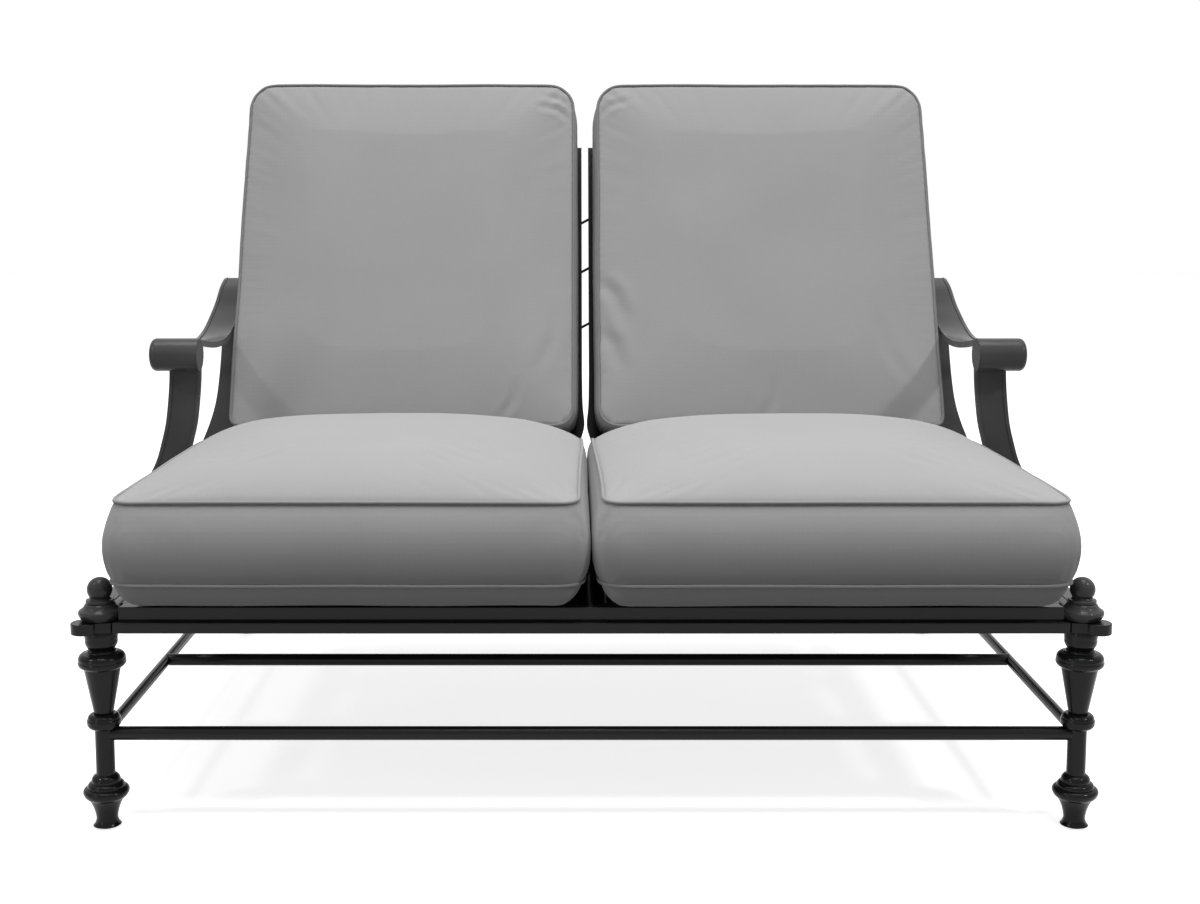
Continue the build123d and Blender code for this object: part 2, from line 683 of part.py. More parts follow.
# Outer stiles: leaning flat bars that carry the back. Below the arm they flare
# outwards and end in a pad on the seat frame.
stile_foot = -stile_drop - strap_width
stile_length = stile_top + stile_drop
stile_parts = {}
stile_lines = {}
for side_name, side in sides:
    outer_edge = [
        (side * (stile_outer_half_span + stile_flare * b), stile_flare_length * a - stile_drop)
        for a, b in stile_edge_shares
    ]
    outer_edge += [
        (side * (stile_outer_half_span - stile_head_inset * b), stile_length * a - stile_drop)
        for a, b in stile_neck_shares
    ]
    inner_edge = [(x - side * strap_width, y) for x, y in outer_edge]
    stile_lines[side_name] = [(x - side * strap_width / 2, y) for x, y in outer_edge]
    foot_out = (outer_edge[0][0], stile_foot)
    foot_in = (inner_edge[0][0], stile_foot)
    top_out = (outer_edge[-1][0], stile_top)
    top_in = (inner_edge[-1][0], stile_top)
    with BuildPart() as back_stile:
        with BuildSketch(stile_plane):
            with BuildLine():
                Line(foot_out, outer_edge[0])
                Spline(*outer_edge)
                Line(outer_edge[-1], top_out)
                Line(top_out, top_in)
                Line(top_in, inner_edge[-1])
                Spline(*reversed(inner_edge))
                Line(inner_edge[0], foot_in)
                Line(foot_in, foot_out)
            make_face()
        extrude(amount=-strap_thickness)
        split(bisect_by=Plane.XY.offset(frame_top), keep=Keep.TOP)
        with BuildSketch(Plane.XY.offset(frame_top)):
            with Locations((side * leg_half_spacing, stile_pad_y)):
                Rectangle(frame_bar_width, foot_pad_length)
        extrude(amount=foot_pad_thickness)
        with BuildSketch(Plane.XY.offset(frame_top)):
            with Locations(*[(side * leg_half_spacing, y) for y in stile_screws]):
                Circle(screw_bore)
        extrude(amount=foot_pad_thickness, mode=Mode.SUBTRACT)
    stile_parts[side_name] = back_stile.part
    save(back_stile.part, f"back_stile_outer_{side_name}")

# Bottom rail of the back, between the outer stiles.
rail_low = inner_stile_foot - bottom_rail_height
with BuildPart() as back_bottom_rail:
    with BuildSketch(stile_plane):
        with Locations((0, rail_low + bottom_rail_height / 2)):
            Rectangle(2 * stile_outer_half_span, bottom_rail_height)
    extrude(amount=-strap_thickness)
    add(stile_parts["left"], mode=Mode.SUBTRACT)
    add(stile_parts["right"], mode=Mode.SUBTRACT)
    rails = back_bottom_rail.solids().sort_by(SortBy.VOLUME)
bottom_rail_solid = rails[-1]
with BuildPart() as back_bottom_rail:
    add(bottom_rail_solid)
save(back_bottom_rail.part, "back_bottom_rail")

# Inner stiles stand on the bottom rail on either side of the middle, and part
# at the foot in a soft curve.
inner_stiles = {}
for side_name, side in sides:
    gap_edge = [
        (side * (stile_inner_half_gap + inner_flare * b), inner_stile_foot + inner_flare_length * a)
        for a, b in inner_edge_shares
    ]
    gap_top = (gap_edge[-1][0], stile_top)
    far_foot = (side * (stile_inner_half_gap + inner_stile_width + inner_flare), inner_stile_foot)
    far_bend = (side * (stile_inner_half_gap + inner_stile_width), 0)
    far_top = (side * (stile_inner_half_gap + inner_stile_width), stile_top)
    with BuildPart() as back_stile:
        with BuildSketch(stile_plane):
            with BuildLine():
                Spline(*gap_edge)
                Line(gap_edge[-1], gap_top)
                Line(gap_top, far_top)
                Line(far_top, far_bend)
                Line(far_bend, far_foot)
                Line(far_foot, gap_edge[0])
            make_face()
        extrude(amount=-strap_thickness)
    inner_stiles[side_name] = back_stile.part
    save(back_stile.part, f"back_stile_inner_{side_name}")

# Top rails, one to each half of the back.
top_inner = stile_inner_half_gap + inner_stile_width
top_outer = stile_outer_half_span - stile_head_inset - strap_width
top_rail_low = stile_top - top_rail_height
for side_name, side in sides:
    with BuildPart() as back_top_rail:
        with BuildSketch(stile_plane):
            with Locations((side * (top_inner + top_outer) / 2, stile_top - top_rail_height / 2)):
                Rectangle(top_outer - top_inner, top_rail_height)
        extrude(amount=-strap_thickness)
    save(back_top_rail.part, f"back_top_rail_{side_name}")

# Lattice: two crossing layers of flat bars in each half, one layer in front of
# the other, ending on the stiles and the rails.
lattice_middle = (lattice_inset + stile_outer_half_span) / 2
lattice_width = stile_outer_half_span - lattice_inset - rim_width
panel_height = top_rail_low - inner_stile_foot
panel_middle = (top_rail_low + inner_stile_foot) / 2
bar_length = lattice_width + panel_height
bars_each_way = int(bar_length / lattice_pitch / 2)
layer_thickness = strap_thickness / 2
layers = (("front", 0, 45), ("rear", layer_thickness, -45))
for side_name, side in sides:
    far_side = [place for place in stile_lines[side_name] if place[1] > inner_stile_foot]
    panel_outline = [
        (side * lattice_inset, top_rail_low), (side * lattice_inset, inner_stile_foot),
        (far_side[0][0], inner_stile_foot), *far_side, (far_side[-1][0], top_rail_low),
    ]
    for layer_name, layer_depth, slope in layers:
        along_x = lattice_pitch / cos(radians(slope))
        bar_places = [
            (side * lattice_middle + along_x * i, panel_middle)
            for i in range(-bars_each_way, bars_each_way + 1)
        ]
        with BuildPart() as lattice:
            with BuildSketch(stile_plane.offset(-layer_depth)):
                with Locations(*bar_places):
                    Rectangle(bar_length, lattice_bar_width, rotation=slope)
                with BuildLine():
                    Polyline(*panel_outline, close=True)
                make_face(mode=Mode.INTERSECT)
            extrude(amount=-layer_thickness)
            add(stile_parts[side_name], mode=Mode.SUBTRACT)
            add(inner_stiles[side_name], mode=Mode.SUBTRACT)
        save(lattice.part, f"back_lattice_{layer_name}_{side_name}")

# Three slanted rods link the two halves of the back across the middle gap.
with BuildPart() as back_link_rods:
    for share in link_places_shares:
        middle = stile_plane.offset(-strap_thickness / 2).from_local_coords((0, stile_top * share, 0))
        rod_way = (
            cos(radians(link_slope)),
            sin(radians(link_slope)) * lean_sin,
            sin(radians(link_slope)) * lean_cos,
        )
        rod_plane = Plane(origin=middle, z_dir=rod_way)
        with BuildSketch(rod_plane.offset(-link_length / 2)):
            Circle(link_radius)
        extrude(amount=link_length)
    add(inner_stiles["left"], mode=Mode.SUBTRACT)
    add(inner_stiles["right"], mode=Mode.SUBTRACT)
    rods = back_link_rods.solids().sort_by_distance(
        stile_plane.offset(-strap_thickness / 2).from_local_coords((0, stile_top / 2, 0))
    )
    rods = [rod for rod in rods if abs(rod.center().X) < link_radius]
with BuildPart() as back_link_rods:
    for rod in rods:
        add(rod)
save(back_link_rods.part, "back_link_rods")

# Arm bands: wide flat bars that leave the roll, dip and sweep up to the stile.
band_low = roll_center_level + roll_radius - band_rise * band_line_shares[0][1]
band_top_y = stile_foot_y + (band_low + band_rise - frame_top) * tan(radians(back_lean))
band_run = band_top_y - band_end_air - roll_y
top_line = scaled(band_line_shares, roll_y, band_run, band_low, band_rise)
low_line = shifted_line(top_line, band_thickness)
sunk_line = shifted_line(top_line, rim_height)
air_line = shifted_line(top_line, -cut_overrun)
band_end_rise = band_low + band_rise + strap_thickness - frame_top
band_end_y = stile_foot_y + band_end_rise * tan(radians(back_lean))
for side_name, side in sides:
    band_outer = side * arm_strap_outside
    band_inner = side * (arm_strap_outside - strap_width)
    with BuildPart() as arm_band:
        with BuildSketch(Plane.YZ.offset(min(band_outer, band_inner))):
            with BuildLine():
                Spline(*top_line)
                Line(top_line[-1], low_line[-1])
                Spline(*reversed(low_line))
                Line(low_line[0], top_line[0])
            make_face()
        extrude(amount=strap_width)
        with BuildSketch(Plane.YZ.offset(min(band_outer, band_inner) + rim_width)):
            with BuildLine():
                Spline(*air_line)
                Line(air_line[-1], sunk_line[-1])
                Spline(*reversed(sunk_line))
                Line(sunk_line[0], air_line[0])
            make_face()
        extrude(amount=strap_width - 2 * rim_width, mode=Mode.SUBTRACT)
        add(roll_parts[side_name], mode=Mode.SUBTRACT)
        add(arm_straps[side_name], mode=Mode.SUBTRACT)
        split(bisect_by=stile_plane, keep=Keep.TOP)
        with BuildSketch(Plane.XY.offset(band_low)):
            with BuildLine():
                Line((band_outer, band_end_y - band_end_radius), (band_outer, band_end_y))
                Line((band_outer, band_end_y), (band_outer - side * band_end_radius, band_end_y))
                ThreePointArc(
                    (band_outer - side * band_end_radius, band_end_y),
                    (
                        band_outer - side * band_end_radius * (1 - cos(radians(45))),
                        band_end_y - band_end_radius * (1 - cos(radians(45))),
                    ),
                    (band_outer, band_end_y - band_end_radius),
                )
            make_face()
        extrude(amount=2 * band_rise, mode=Mode.SUBTRACT)
    save(arm_band.part, f"arm_band_{side_name}")

# Screws: pan heads on the pads, and flush heads under the lower rails.
foot_places = [
    (s * leg_half_spacing, y) for s in (-1, 1) for y in arm_screws + stile_screws
]
pad_top = frame_top + foot_pad_thickness
with BuildPart() as arm_foot_screws:
    with BuildSketch(Plane.XY.offset(foot_screw_bottom)):
        with Locations(*foot_places):
            Circle(screw_radius)
    extrude(amount=foot_screw_length)
    with BuildSketch(Plane.XY.offset(pad_top)):
        with Locations(*foot_places):
            Circle(screw_head_radius)
    extrude(amount=screw_head_height)
    head_rims = arm_foot_screws.edges().group_by(Axis.Z)[-1]
    fillet(head_rims, radius=screw_head_fillet)
save(arm_foot_screws.part, "arm_foot_screws")
with BuildPart() as frame_screws:
    with BuildSketch(Plane.XY.offset(rail_bottom)):
        with Locations(*cross_screws, *side_screws):
            Circle(screw_head_radius)
    extrude(amount=frame_screw_sink)
    with BuildSketch(Plane.XY.offset(rail_bottom)):
        with Locations(*cross_screws, *side_screws):
            Circle(screw_radius)
    extrude(amount=frame_screw_length)
save(frame_screws.part, "frame_screws")

# Seat cushions: a crowned box, worked out as three outlines that cross.
seat_width = seat_outer - seat_inner
seat_depth = seat_front_reach + seat_back_depth
seat_front_y = front_leg_y - seat_front_reach
seat_back_y = front_leg_y + seat_back_depth
seat_middle_level = cushion_bottom + seat_thickness * seat_side_share
low_level = cushion_bottom + seat_thickness * seat_low_side_share
low_front_level = cushion_bottom + seat_thickness * seat_low_front_share
bottom_inset = seat_width * seat_bottom_inset_share
for side_name, side in sides:
    crown = scaled(seat_cross_crown_shares, seat_inner, seat_width, seat_piping_level, seat_crown)
    crown = [(side * x, z) for x, z in crown]
    crown_side = scaled(
        seat_long_crown_shares, seat_front_y, seat_depth, seat_piping_level, seat_crown
    )
    out_low = (side * (seat_outer + seat_side_bulge / 2), low_level)
    out_foot = (side * (seat_outer - bottom_inset), cushion_bottom)
    in_foot = (side * (seat_inner + bottom_inset), cushion_bottom)
    in_low = (side * (seat_inner - seat_inner_bulge / 3), low_level)
    front_low = (seat_front_y - seat_front_bulge / 2, low_front_level)
    front_foot = (seat_front_y + bottom_inset / 2, cushion_bottom)
    back_foot = (seat_back_y - bottom_inset / 2, cushion_bottom)
    back_low = (seat_back_y, low_level)
    with BuildPart() as seat_cushion:
        with BuildSketch(upright_plane(0, seat_front_y - 2 * seat_front_bulge, 0)):
            with BuildLine():
                Spline(*crown)
                ThreePointArc(
                    crown[-1], (side * (seat_outer + seat_side_bulge), seat_middle_level), out_low
                )
                Line(out_low, out_foot)
                Line(out_foot, in_foot)
                Line(in_foot, in_low)
                ThreePointArc(
                    in_low, (side * (seat_inner - seat_inner_bulge), seat_middle_level), crown[0]
                )
            make_face()
        extrude(amount=-seat_depth - 4 * seat_front_bulge)
        with BuildSketch(Plane.YZ):
            with BuildLine():
                Spline(*crown_side)
                Line(crown_side[-1], back_low)
                Line(back_low, back_foot)
                Line(back_foot, front_foot)
                Line(front_foot, front_low)
                ThreePointArc(
                    front_low, (seat_front_y - seat_front_bulge, seat_middle_level), crown_side[0]
                )
            make_face()
        extrude(amount=side * (seat_outer + 2 * seat_side_bulge), mode=Mode.INTERSECT)
        with BuildSketch(Plane.XY.offset(cushion_bottom)):
            with BuildLine():
                FilletPolyline(
                    (side * (seat_inner - seat_inner_bulge), seat_front_y - seat_front_bulge),
                    (side * (seat_outer + seat_side_bulge), seat_front_y - seat_front_bulge),
                    (side * (seat_outer + seat_side_bulge), seat_back_y),
                    (side * (seat_inner - seat_inner_bulge), seat_back_y),
                    radius=seat_corner_radius, close=True,
                )
            make_face()
        extrude(amount=seat_thickness + 2 * seat_crown, mode=Mode.INTERSECT)
    save(seat_cushion.part, f"seat_cushion_{side_name}")

# Back cushions: crowned boxes that lean on the stiles and the lattice.
outline_top = back_length + cut_overrun
for side_name, side in sides:
    side_plane = Plane(
        origin=(0, front_leg_y + back_foot_depth, back_foot_level),
        x_dir=(0, lean_cos, -lean_sin), z_dir=(1, 0, 0),
    )
    with BuildPart() as back_cushion:
        with BuildSketch(back_front_plane.offset(-back_thickness)):
            with BuildLine():
                FilletPolyline(
                    (side * back_inner, -cut_overrun), (side * back_outer, -cut_overrun),
                    (side * back_outer, outline_top), (side * back_inner, outline_top),
                    radius=[back_foot_corner, back_foot_corner, back_top_corner, back_top_corner],
                    close=True,
                )
            make_face()
        extrude(amount=back_thickness + 2 * back_crown)
        with BuildSketch(side_plane):
            with BuildLine():
                Line((0, 0), (back_thickness, back_foot_slope))
                Line(
                    (back_thickness, back_foot_slope),
                    (back_thickness, back_length - back_edge_radius),
                )
                RadiusArc(
                    (back_thickness, back_length - back_edge_radius),
                    (back_thickness - back_edge_radius, back_length),
                    -back_edge_radius,
                )
                Line((back_thickness - back_edge_radius, back_length), (0, back_length))
                ThreePointArc((0, back_length), (-back_crown, back_length / 2), (0, 0))
            make_face()
        extrude(amount=side * (back_outer + back_edge_radius), mode=Mode.INTERSECT)
    save(back_cushion.part, f"back_cushion_{side_name}")
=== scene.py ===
# %% [markdown]
# # A garden loveseat, dressed round its CAD frame
# The metal frame arrives finished in shape from the CAD step, so this lesson
# gives it paint, and builds what CAD can't: four stuffed cushions with corded
# seams. Everything is in metres, the front faces -Y and +Z is up.

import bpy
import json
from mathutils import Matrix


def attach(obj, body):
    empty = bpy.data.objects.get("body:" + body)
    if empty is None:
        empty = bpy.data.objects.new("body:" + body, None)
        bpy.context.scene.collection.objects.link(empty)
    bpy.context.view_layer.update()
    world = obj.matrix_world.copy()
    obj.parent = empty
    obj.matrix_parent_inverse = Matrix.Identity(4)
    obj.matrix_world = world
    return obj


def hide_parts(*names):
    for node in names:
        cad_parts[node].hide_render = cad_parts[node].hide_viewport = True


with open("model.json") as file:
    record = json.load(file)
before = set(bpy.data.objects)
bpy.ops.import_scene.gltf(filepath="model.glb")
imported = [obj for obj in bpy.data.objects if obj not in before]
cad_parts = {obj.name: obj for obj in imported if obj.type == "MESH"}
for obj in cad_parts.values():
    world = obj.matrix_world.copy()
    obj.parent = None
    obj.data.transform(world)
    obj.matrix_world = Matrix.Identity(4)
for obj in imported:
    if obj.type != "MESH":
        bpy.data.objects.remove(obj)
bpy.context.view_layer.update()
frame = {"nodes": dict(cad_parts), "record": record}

# %% Tools used below
import json
import math

import bmesh
import bpy
import numpy as np
from mathutils import Vector, noise as noise_field
from mathutils.bvhtree import BVHTree

# %% [markdown]
# ## The camera
# The photograph was taken from a little above the arms, looking slightly down.
# Its perspective was worked out from the legs and the cushions: a focal length
# in pixels, and the pixel that the lens points at, which lies above and left of
# the middle of the picture. A lens shift puts that point back where it was. The
# eye stands three centimetres left of the middle, because the backs lie a few
# pixels further left in the photograph than the legs do.

# %% Camera
picture_width = 1200
picture_height = 904
focal_length_px = 1570
aim_px = (569.0, 365.9)
eye = Vector((-0.030, -2.5299, 0.8761))
tilt_down = math.radians(6.5)
sensor_width_mm = 36

camera_data = bpy.data.cameras.new("photo_camera")
camera_data.sensor_width = sensor_width_mm
camera_data.lens = focal_length_px * sensor_width_mm / picture_width
camera_data.shift_x = (picture_width / 2 - aim_px[0]) / picture_width
camera_data.shift_y = (aim_px[1] - picture_height / 2) / picture_width
camera = bpy.data.objects.new("photo_camera", camera_data)
camera.location = eye
camera.rotation_euler = (math.pi / 2 - tilt_down, 0, 0)
bpy.context.scene.collection.objects.link(camera)
bpy.context.scene.camera = camera
print("lens", round(camera_data.lens, 2), "mm, shift", round(camera_data.shift_y, 4))

# %% [markdown]
# ## Studio light
# The seat tops are the brightest part of the photograph and the seat fronts
# darken towards the floor, so nearly all the light falls from above. One wide
# soft lamp hangs over the seat, and a narrow one high in front draws a bright line
# along the stretchers. A tall one at the left front does the same for the legs.
# Two small ones at the sides throw the faint shadows of the arms on the back
# cushions. The right one is stronger, because the cushions are darker along
# their left edges. The world fills the rest at a low level. Only rays that the
# camera, gloss or glass sends out see the world as white.


# %% Small node helpers
def calculate(nodes, links, operation, *signals):
    """One sum of signals and plain numbers."""
    step = nodes.new("ShaderNodeMath")
    step.operation = operation
    for socket, signal in zip(step.inputs, signals):
        if isinstance(signal, float):
            socket.default_value = signal
        else:
            links.new(signal, socket)
    return step.outputs[0]


def clear_rays(nodes, links):
    """1 for rays that the camera, gloss or glass sends out, and 0 for all others."""
    ray_kind = nodes.new("ShaderNodeLightPath").outputs
    seen = calculate(
        nodes, links, "MAXIMUM", ray_kind["Is Camera Ray"], ray_kind["Is Glossy Ray"]
    )
    return calculate(nodes, links, "MAXIMUM", seen, ray_kind["Is Transmission Ray"])


def grey_shader(nodes, kind, grey, strength=None):
    """A shader of one grey, with a strength if it shines."""
    shader = nodes.new(kind)
    shader.inputs["Color"].default_value = (grey, grey, grey, 1.0)
    if strength is not None:
        shader.inputs["Strength"].default_value = strength
    return shader.outputs[0]


# %% World
scene = bpy.context.scene
scene.view_settings.view_transform = "Standard"

fill_strength = 0.20
white_strength = 1.0
world = bpy.data.worlds.new("studio_world")
world.use_nodes = True
scene.world = world
world_nodes = world.node_tree.nodes
world_links = world.node_tree.links
world_nodes.clear()
world_out = world_nodes.new("ShaderNodeOutputWorld")
fill_sky = grey_shader(world_nodes, "ShaderNodeBackground", 1.0, fill_strength)
white_sky = grey_shader(world_nodes, "ShaderNodeBackground", 1.0, white_strength)
world_mix = world_nodes.new("ShaderNodeMixShader")
world_links.new(clear_rays(world_nodes, world_links), world_mix.inputs["Fac"])
world_links.new(fill_sky, world_mix.inputs[1])
world_links.new(white_sky, world_mix.inputs[2])
world_links.new(world_mix.outputs[0], world_out.inputs["Surface"])
print("world: fill", fill_strength, "and white behind")


# %% Lamps
def soft_lamp(name, place, target, width, depth, power):
    """A rectangular studio lamp that hangs at a place and faces a target."""
    lamp_data = bpy.data.lights.new(name, "AREA")
    lamp_data.shape = "RECTANGLE"
    lamp_data.size = width
    lamp_data.size_y = depth
    lamp_data.energy = power
    lamp = bpy.data.objects.new(name, lamp_data)
    lamp.location = place
    way = Vector(target) - Vector(place)
    lamp.rotation_euler = way.to_track_quat("-Z", "Y").to_euler()
    scene.collection.objects.link(lamp)
    return lamp


seat_middle = (0.0, 0.0, 0.5)
lamps = (
    soft_lamp("overhead_lamp", (0.0, -0.20, 6.5), seat_middle, width=4.6, depth=3.1, power=340),
    soft_lamp("front_lamp", (0.0, -2.3, 4.8), seat_middle, width=1.6, depth=0.35, power=22),
    soft_lamp("tall_lamp", (-3.0, -3.2, 1.0), seat_middle, width=0.6, depth=1.8, power=13),
    soft_lamp("left_lamp", (-2.4, -1.5, 2.65), seat_middle, width=0.24, depth=0.24, power=14),
    soft_lamp("right_lamp", (2.4, -1.5, 2.65), seat_middle, width=0.24, depth=0.24, power=26),
)
print("lamps:", [lamp.name for lamp in lamps])

# %% [markdown]
# ## The floor
# The loveseat stands on a wide white floor. The camera sees it nearly white,
# with only the shadow left in, while the light that it throws back is that of
# a mid grey, because in the photograph nothing lights the cushions from below.

# %% Floor
floor_size = 28.0
floor_white = 0.86
floor_glow_strength = 0.80
bounce_grey = 0.12
bpy.ops.mesh.primitive_plane_add(size=floor_size, location=(0, 0, 0))
floor = bpy.context.active_object
floor.name = "studio_floor"
floor_paint = bpy.data.materials.new("floor_white")
floor_paint.use_nodes = True
floor_nodes = floor_paint.node_tree.nodes
floor_links = floor_paint.node_tree.links
floor_nodes.clear()
floor_out = floor_nodes.new("ShaderNodeOutputMaterial")
floor_glow = grey_shader(floor_nodes, "ShaderNodeEmission", 1.0, floor_glow_strength)
floor_shade = grey_shader(floor_nodes, "ShaderNodeBsdfDiffuse", floor_white)
floor_dull = grey_shader(floor_nodes, "ShaderNodeBsdfDiffuse", bounce_grey)
floor_clear = floor_nodes.new("ShaderNodeAddShader")
floor_mix = floor_nodes.new("ShaderNodeMixShader")
floor_links.new(clear_rays(floor_nodes, floor_links), floor_mix.inputs["Fac"])
floor_links.new(floor_shade, floor_clear.inputs[0])
floor_links.new(floor_glow, floor_clear.inputs[1])
floor_links.new(floor_dull, floor_mix.inputs[1])
floor_links.new(floor_clear.outputs[0], floor_mix.inputs[2])
floor_links.new(floor_mix.outputs[0], floor_out.inputs["Surface"])
floor.data.materials.append(floor_paint)
print("floor", floor_size, "m wide")

# %% [markdown]
# ## Painted metal
# The frame is cast and bent metal under a charcoal powder coat. Such paint has
# a satin gloss, a very fine orange-peel skin and slow drifts in its gloss where it
# baked a little thicker, all from noise in the material, so no picture is needed.
# Its sharp edges are painted paler, partly as edge wear and partly as a painted
# highlight. The paint comes in two tones: nearly black on the legs and rails, and a paler
# copy on the arms, the straps beside them and the finials, a painted light for the light they
# catch.

# %% Material helpers
relief_height = 0.0004


def new_material(name):
    """A node material, ready to be wired: itself, its nodes, its links, its
    shader and the place on the object that each point has."""
    material = bpy.data.materials.new(name)
    material.use_nodes = True
    nodes = material.node_tree.nodes
    place = nodes.new("ShaderNodeTexCoord").outputs["Object"]
    return material, nodes, material.node_tree.links, nodes["Principled BSDF"], place


def grey_ramp(nodes, links, source, low, high, start, end):
    """Turn a grey signal into a blend of two colours."""
    ramp = nodes.new("ShaderNodeValToRGB")
    ramp.color_ramp.elements[0].position = start
    ramp.color_ramp.elements[1].position = end
    ramp.color_ramp.elements[0].color = (*low, 1.0)
    ramp.color_ramp.elements[1].color = (*high, 1.0)
    links.new(source, ramp.inputs["Fac"])
    return ramp.outputs["Color"]


def noise(nodes, links, place, grains, detail=2.0, roughness=0.5):
    """A noise signal at a given number of grains to the metre."""
    grain = nodes.new("ShaderNodeTexNoise")
    grain.inputs["Scale"].default_value = grains
    grain.inputs["Detail"].default_value = detail
    grain.inputs["Roughness"].default_value = roughness
    links.new(place, grain.inputs["Vector"])
    return grain.outputs["Fac"]


def span(nodes, links, source, low, high, start=0.0, end=1.0):
    """Stretch a signal that runs from start to end onto another range."""
    stretch = nodes.new("ShaderNodeMapRange")
    stretch.inputs["From Min"].default_value = start
    stretch.inputs["From Max"].default_value = end
    stretch.inputs["To Min"].default_value = low
    stretch.inputs["To Max"].default_value = high
    links.new(source, stretch.inputs["Value"])
    return stretch.outputs["Result"]


def fine_relief(nodes, links, shader, source, strength):
    """Lay a relief of a fraction of a millimetre on a finish."""
    bump = nodes.new("ShaderNodeBump")
    bump.inputs["Strength"].default_value = strength
    bump.inputs["Distance"].default_value = relief_height
    links.new(source, bump.inputs["Height"])
    links.new(bump.outputs["Normal"], shader.inputs["Normal"])


# %% Charcoal paint
paint_drift_grains = 7.0
paint_drift_range = (0.35, 0.68)
paint_edge_wear_and_sheen_range = (0.53, 0.62)
paint_roughness = (0.13, 0.22)
paint_peel_grains = 700.0
paint_peel_strength = 0.10


def charcoal_paint(name, deep, pale, edge_wear_and_sheen, gloss):
    """Satin charcoal powder coat between two tones, painted paler along its edges as edge wear
    and a painted highlight.
    """
    material, nodes, links, shader, place = new_material(name)
    drift = noise(nodes, links, place, paint_drift_grains, 3.0)
    colour = grey_ramp(nodes, links, drift, deep, pale, *paint_drift_range)
    # Sharp edges, found from Pointiness, get a paler colour: edge wear and a painted highlight.
    edges = nodes.new("ShaderNodeNewGeometry").outputs["Pointiness"]
    edge_wear_and_sheen_mask = grey_ramp(nodes, links, edges, (0, 0, 0), (1, 1, 1), *paint_edge_wear_and_sheen_range)
    edge_wear_and_sheen_mix = nodes.new("ShaderNodeMix")
    edge_wear_and_sheen_mix.data_type = "RGBA"
    links.new(edge_wear_and_sheen_mask, edge_wear_and_sheen_mix.inputs["Factor"])
    links.new(colour, edge_wear_and_sheen_mix.inputs["A"])
    edge_wear_and_sheen_mix.inputs["B"].default_value = (*edge_wear_and_sheen, 1.0)
    links.new(edge_wear_and_sheen_mix.outputs["Result"], shader.inputs["Base Color"])
    links.new(span(nodes, links, drift, *paint_roughness), shader.inputs["Roughness"])
    shader.inputs["Specular IOR Level"].default_value = gloss
    peel = noise(nodes, links, place, paint_peel_grains)
    fine_relief(nodes, links, shader, peel, paint_peel_strength)
    return material


frame_paint = charcoal_paint(
    "charcoal_paint", deep=(0.0070, 0.0071, 0.0075), pale=(0.0120, 0.0122, 0.0127),
    edge_wear_and_sheen=(0.0200, 0.0200, 0.0205), gloss=0.14,
)
# A paler copy of the same paint, a painted light for the light that the arms, their straps, the
# outer stiles and the finials catch.
lit_arm_paint = charcoal_paint(
    "charcoal_painted_lit", deep=(0.0580, 0.0582, 0.0590), pale=(0.0760, 0.0763, 0.0772),
    edge_wear_and_sheen=(0.1250, 0.1250, 0.1265), gloss=0.11,
)
print("paints:", frame_paint.name, lit_arm_paint.name)


# %% [markdown]
# ## Screws and glides
# The studs and screws are blackened steel, duller and a little browner than the
# paint. The discs under the feet are black nylon, with a milky, soft gloss.

# %% Blackened steel and nylon
dark_drift_range = (0.3, 0.7)


def plain_finish(name, low, high, roughness, metallic, grains):
    """A dark finish that varies with one noise."""
    material, nodes, links, shader, place = new_material(name)
    drift = noise(nodes, links, place, grains, 3.0)
    colour = grey_ramp(nodes, links, drift, low, high, *dark_drift_range)
    links.new(colour, shader.inputs["Base Color"])
    links.new(span(nodes, links, drift, *roughness), shader.inputs["Roughness"])
    shader.inputs["Metallic"].default_value = metallic
    return material


black_steel = plain_finish(
    "blackened_steel", low=(0.05, 0.048, 0.046), high=(0.11, 0.107, 0.104),
    roughness=(0.28, 0.46), metallic=1.0, grains=160.0,
)
black_nylon = plain_finish(
    "black_nylon", low=(0.012, 0.012, 0.012), high=(0.022, 0.022, 0.022),
    roughness=(0.45, 0.6), metallic=0.0, grains=220.0,
)

# %% Paint the frame
node_finish = {"frame_metal": frame_paint, "fastener": black_steel, "glide": black_nylon}
# Parts that take the paler copy of the paint, as painted light.
lit_paint_parts = ("arm_band", "arm_roll", "arm_support", "back_stile_outer", "finial")
slot_of_node = {row["node"]: row["material_slot"] for row in frame["record"]["subparts"]}
painted = 0
for node_name, node in frame["nodes"].items():
    finish = node_finish.get(slot_of_node[node_name])
    if finish is None:
        continue
    if node_name.startswith(lit_paint_parts):
        finish = lit_arm_paint
    node.data.materials.clear()
    node.data.materials.append(finish)
    painted += 1
print("nodes given a finish:", painted)

# %% [markdown]
# ## Outdoor fabric
# The covers are a plain woven outdoor cloth in mid grey. Up close it is a grid
# of warp and weft with slightly uneven threads, and from a step back only a
# soft mottling is left. Three sets of fine waves follow the three axes, and
# each is faded out where the surface faces along its axis, so the weave stays
# crisp on every side of a cushion without any unwrapping.

# %% Woven cloth
thread_pitch = 0.0011
waves_per_scale = 20
thread_wobble = 0.6
axis_fade_range = (0.55, 0.85)
mottle_grains = 5.0
mottle_range = (0.1, 0.55)
heather_grains = 420.0
heather_share = 0.45
cloth_tone_range = (0.2, 0.85)
weave_strength = 0.07


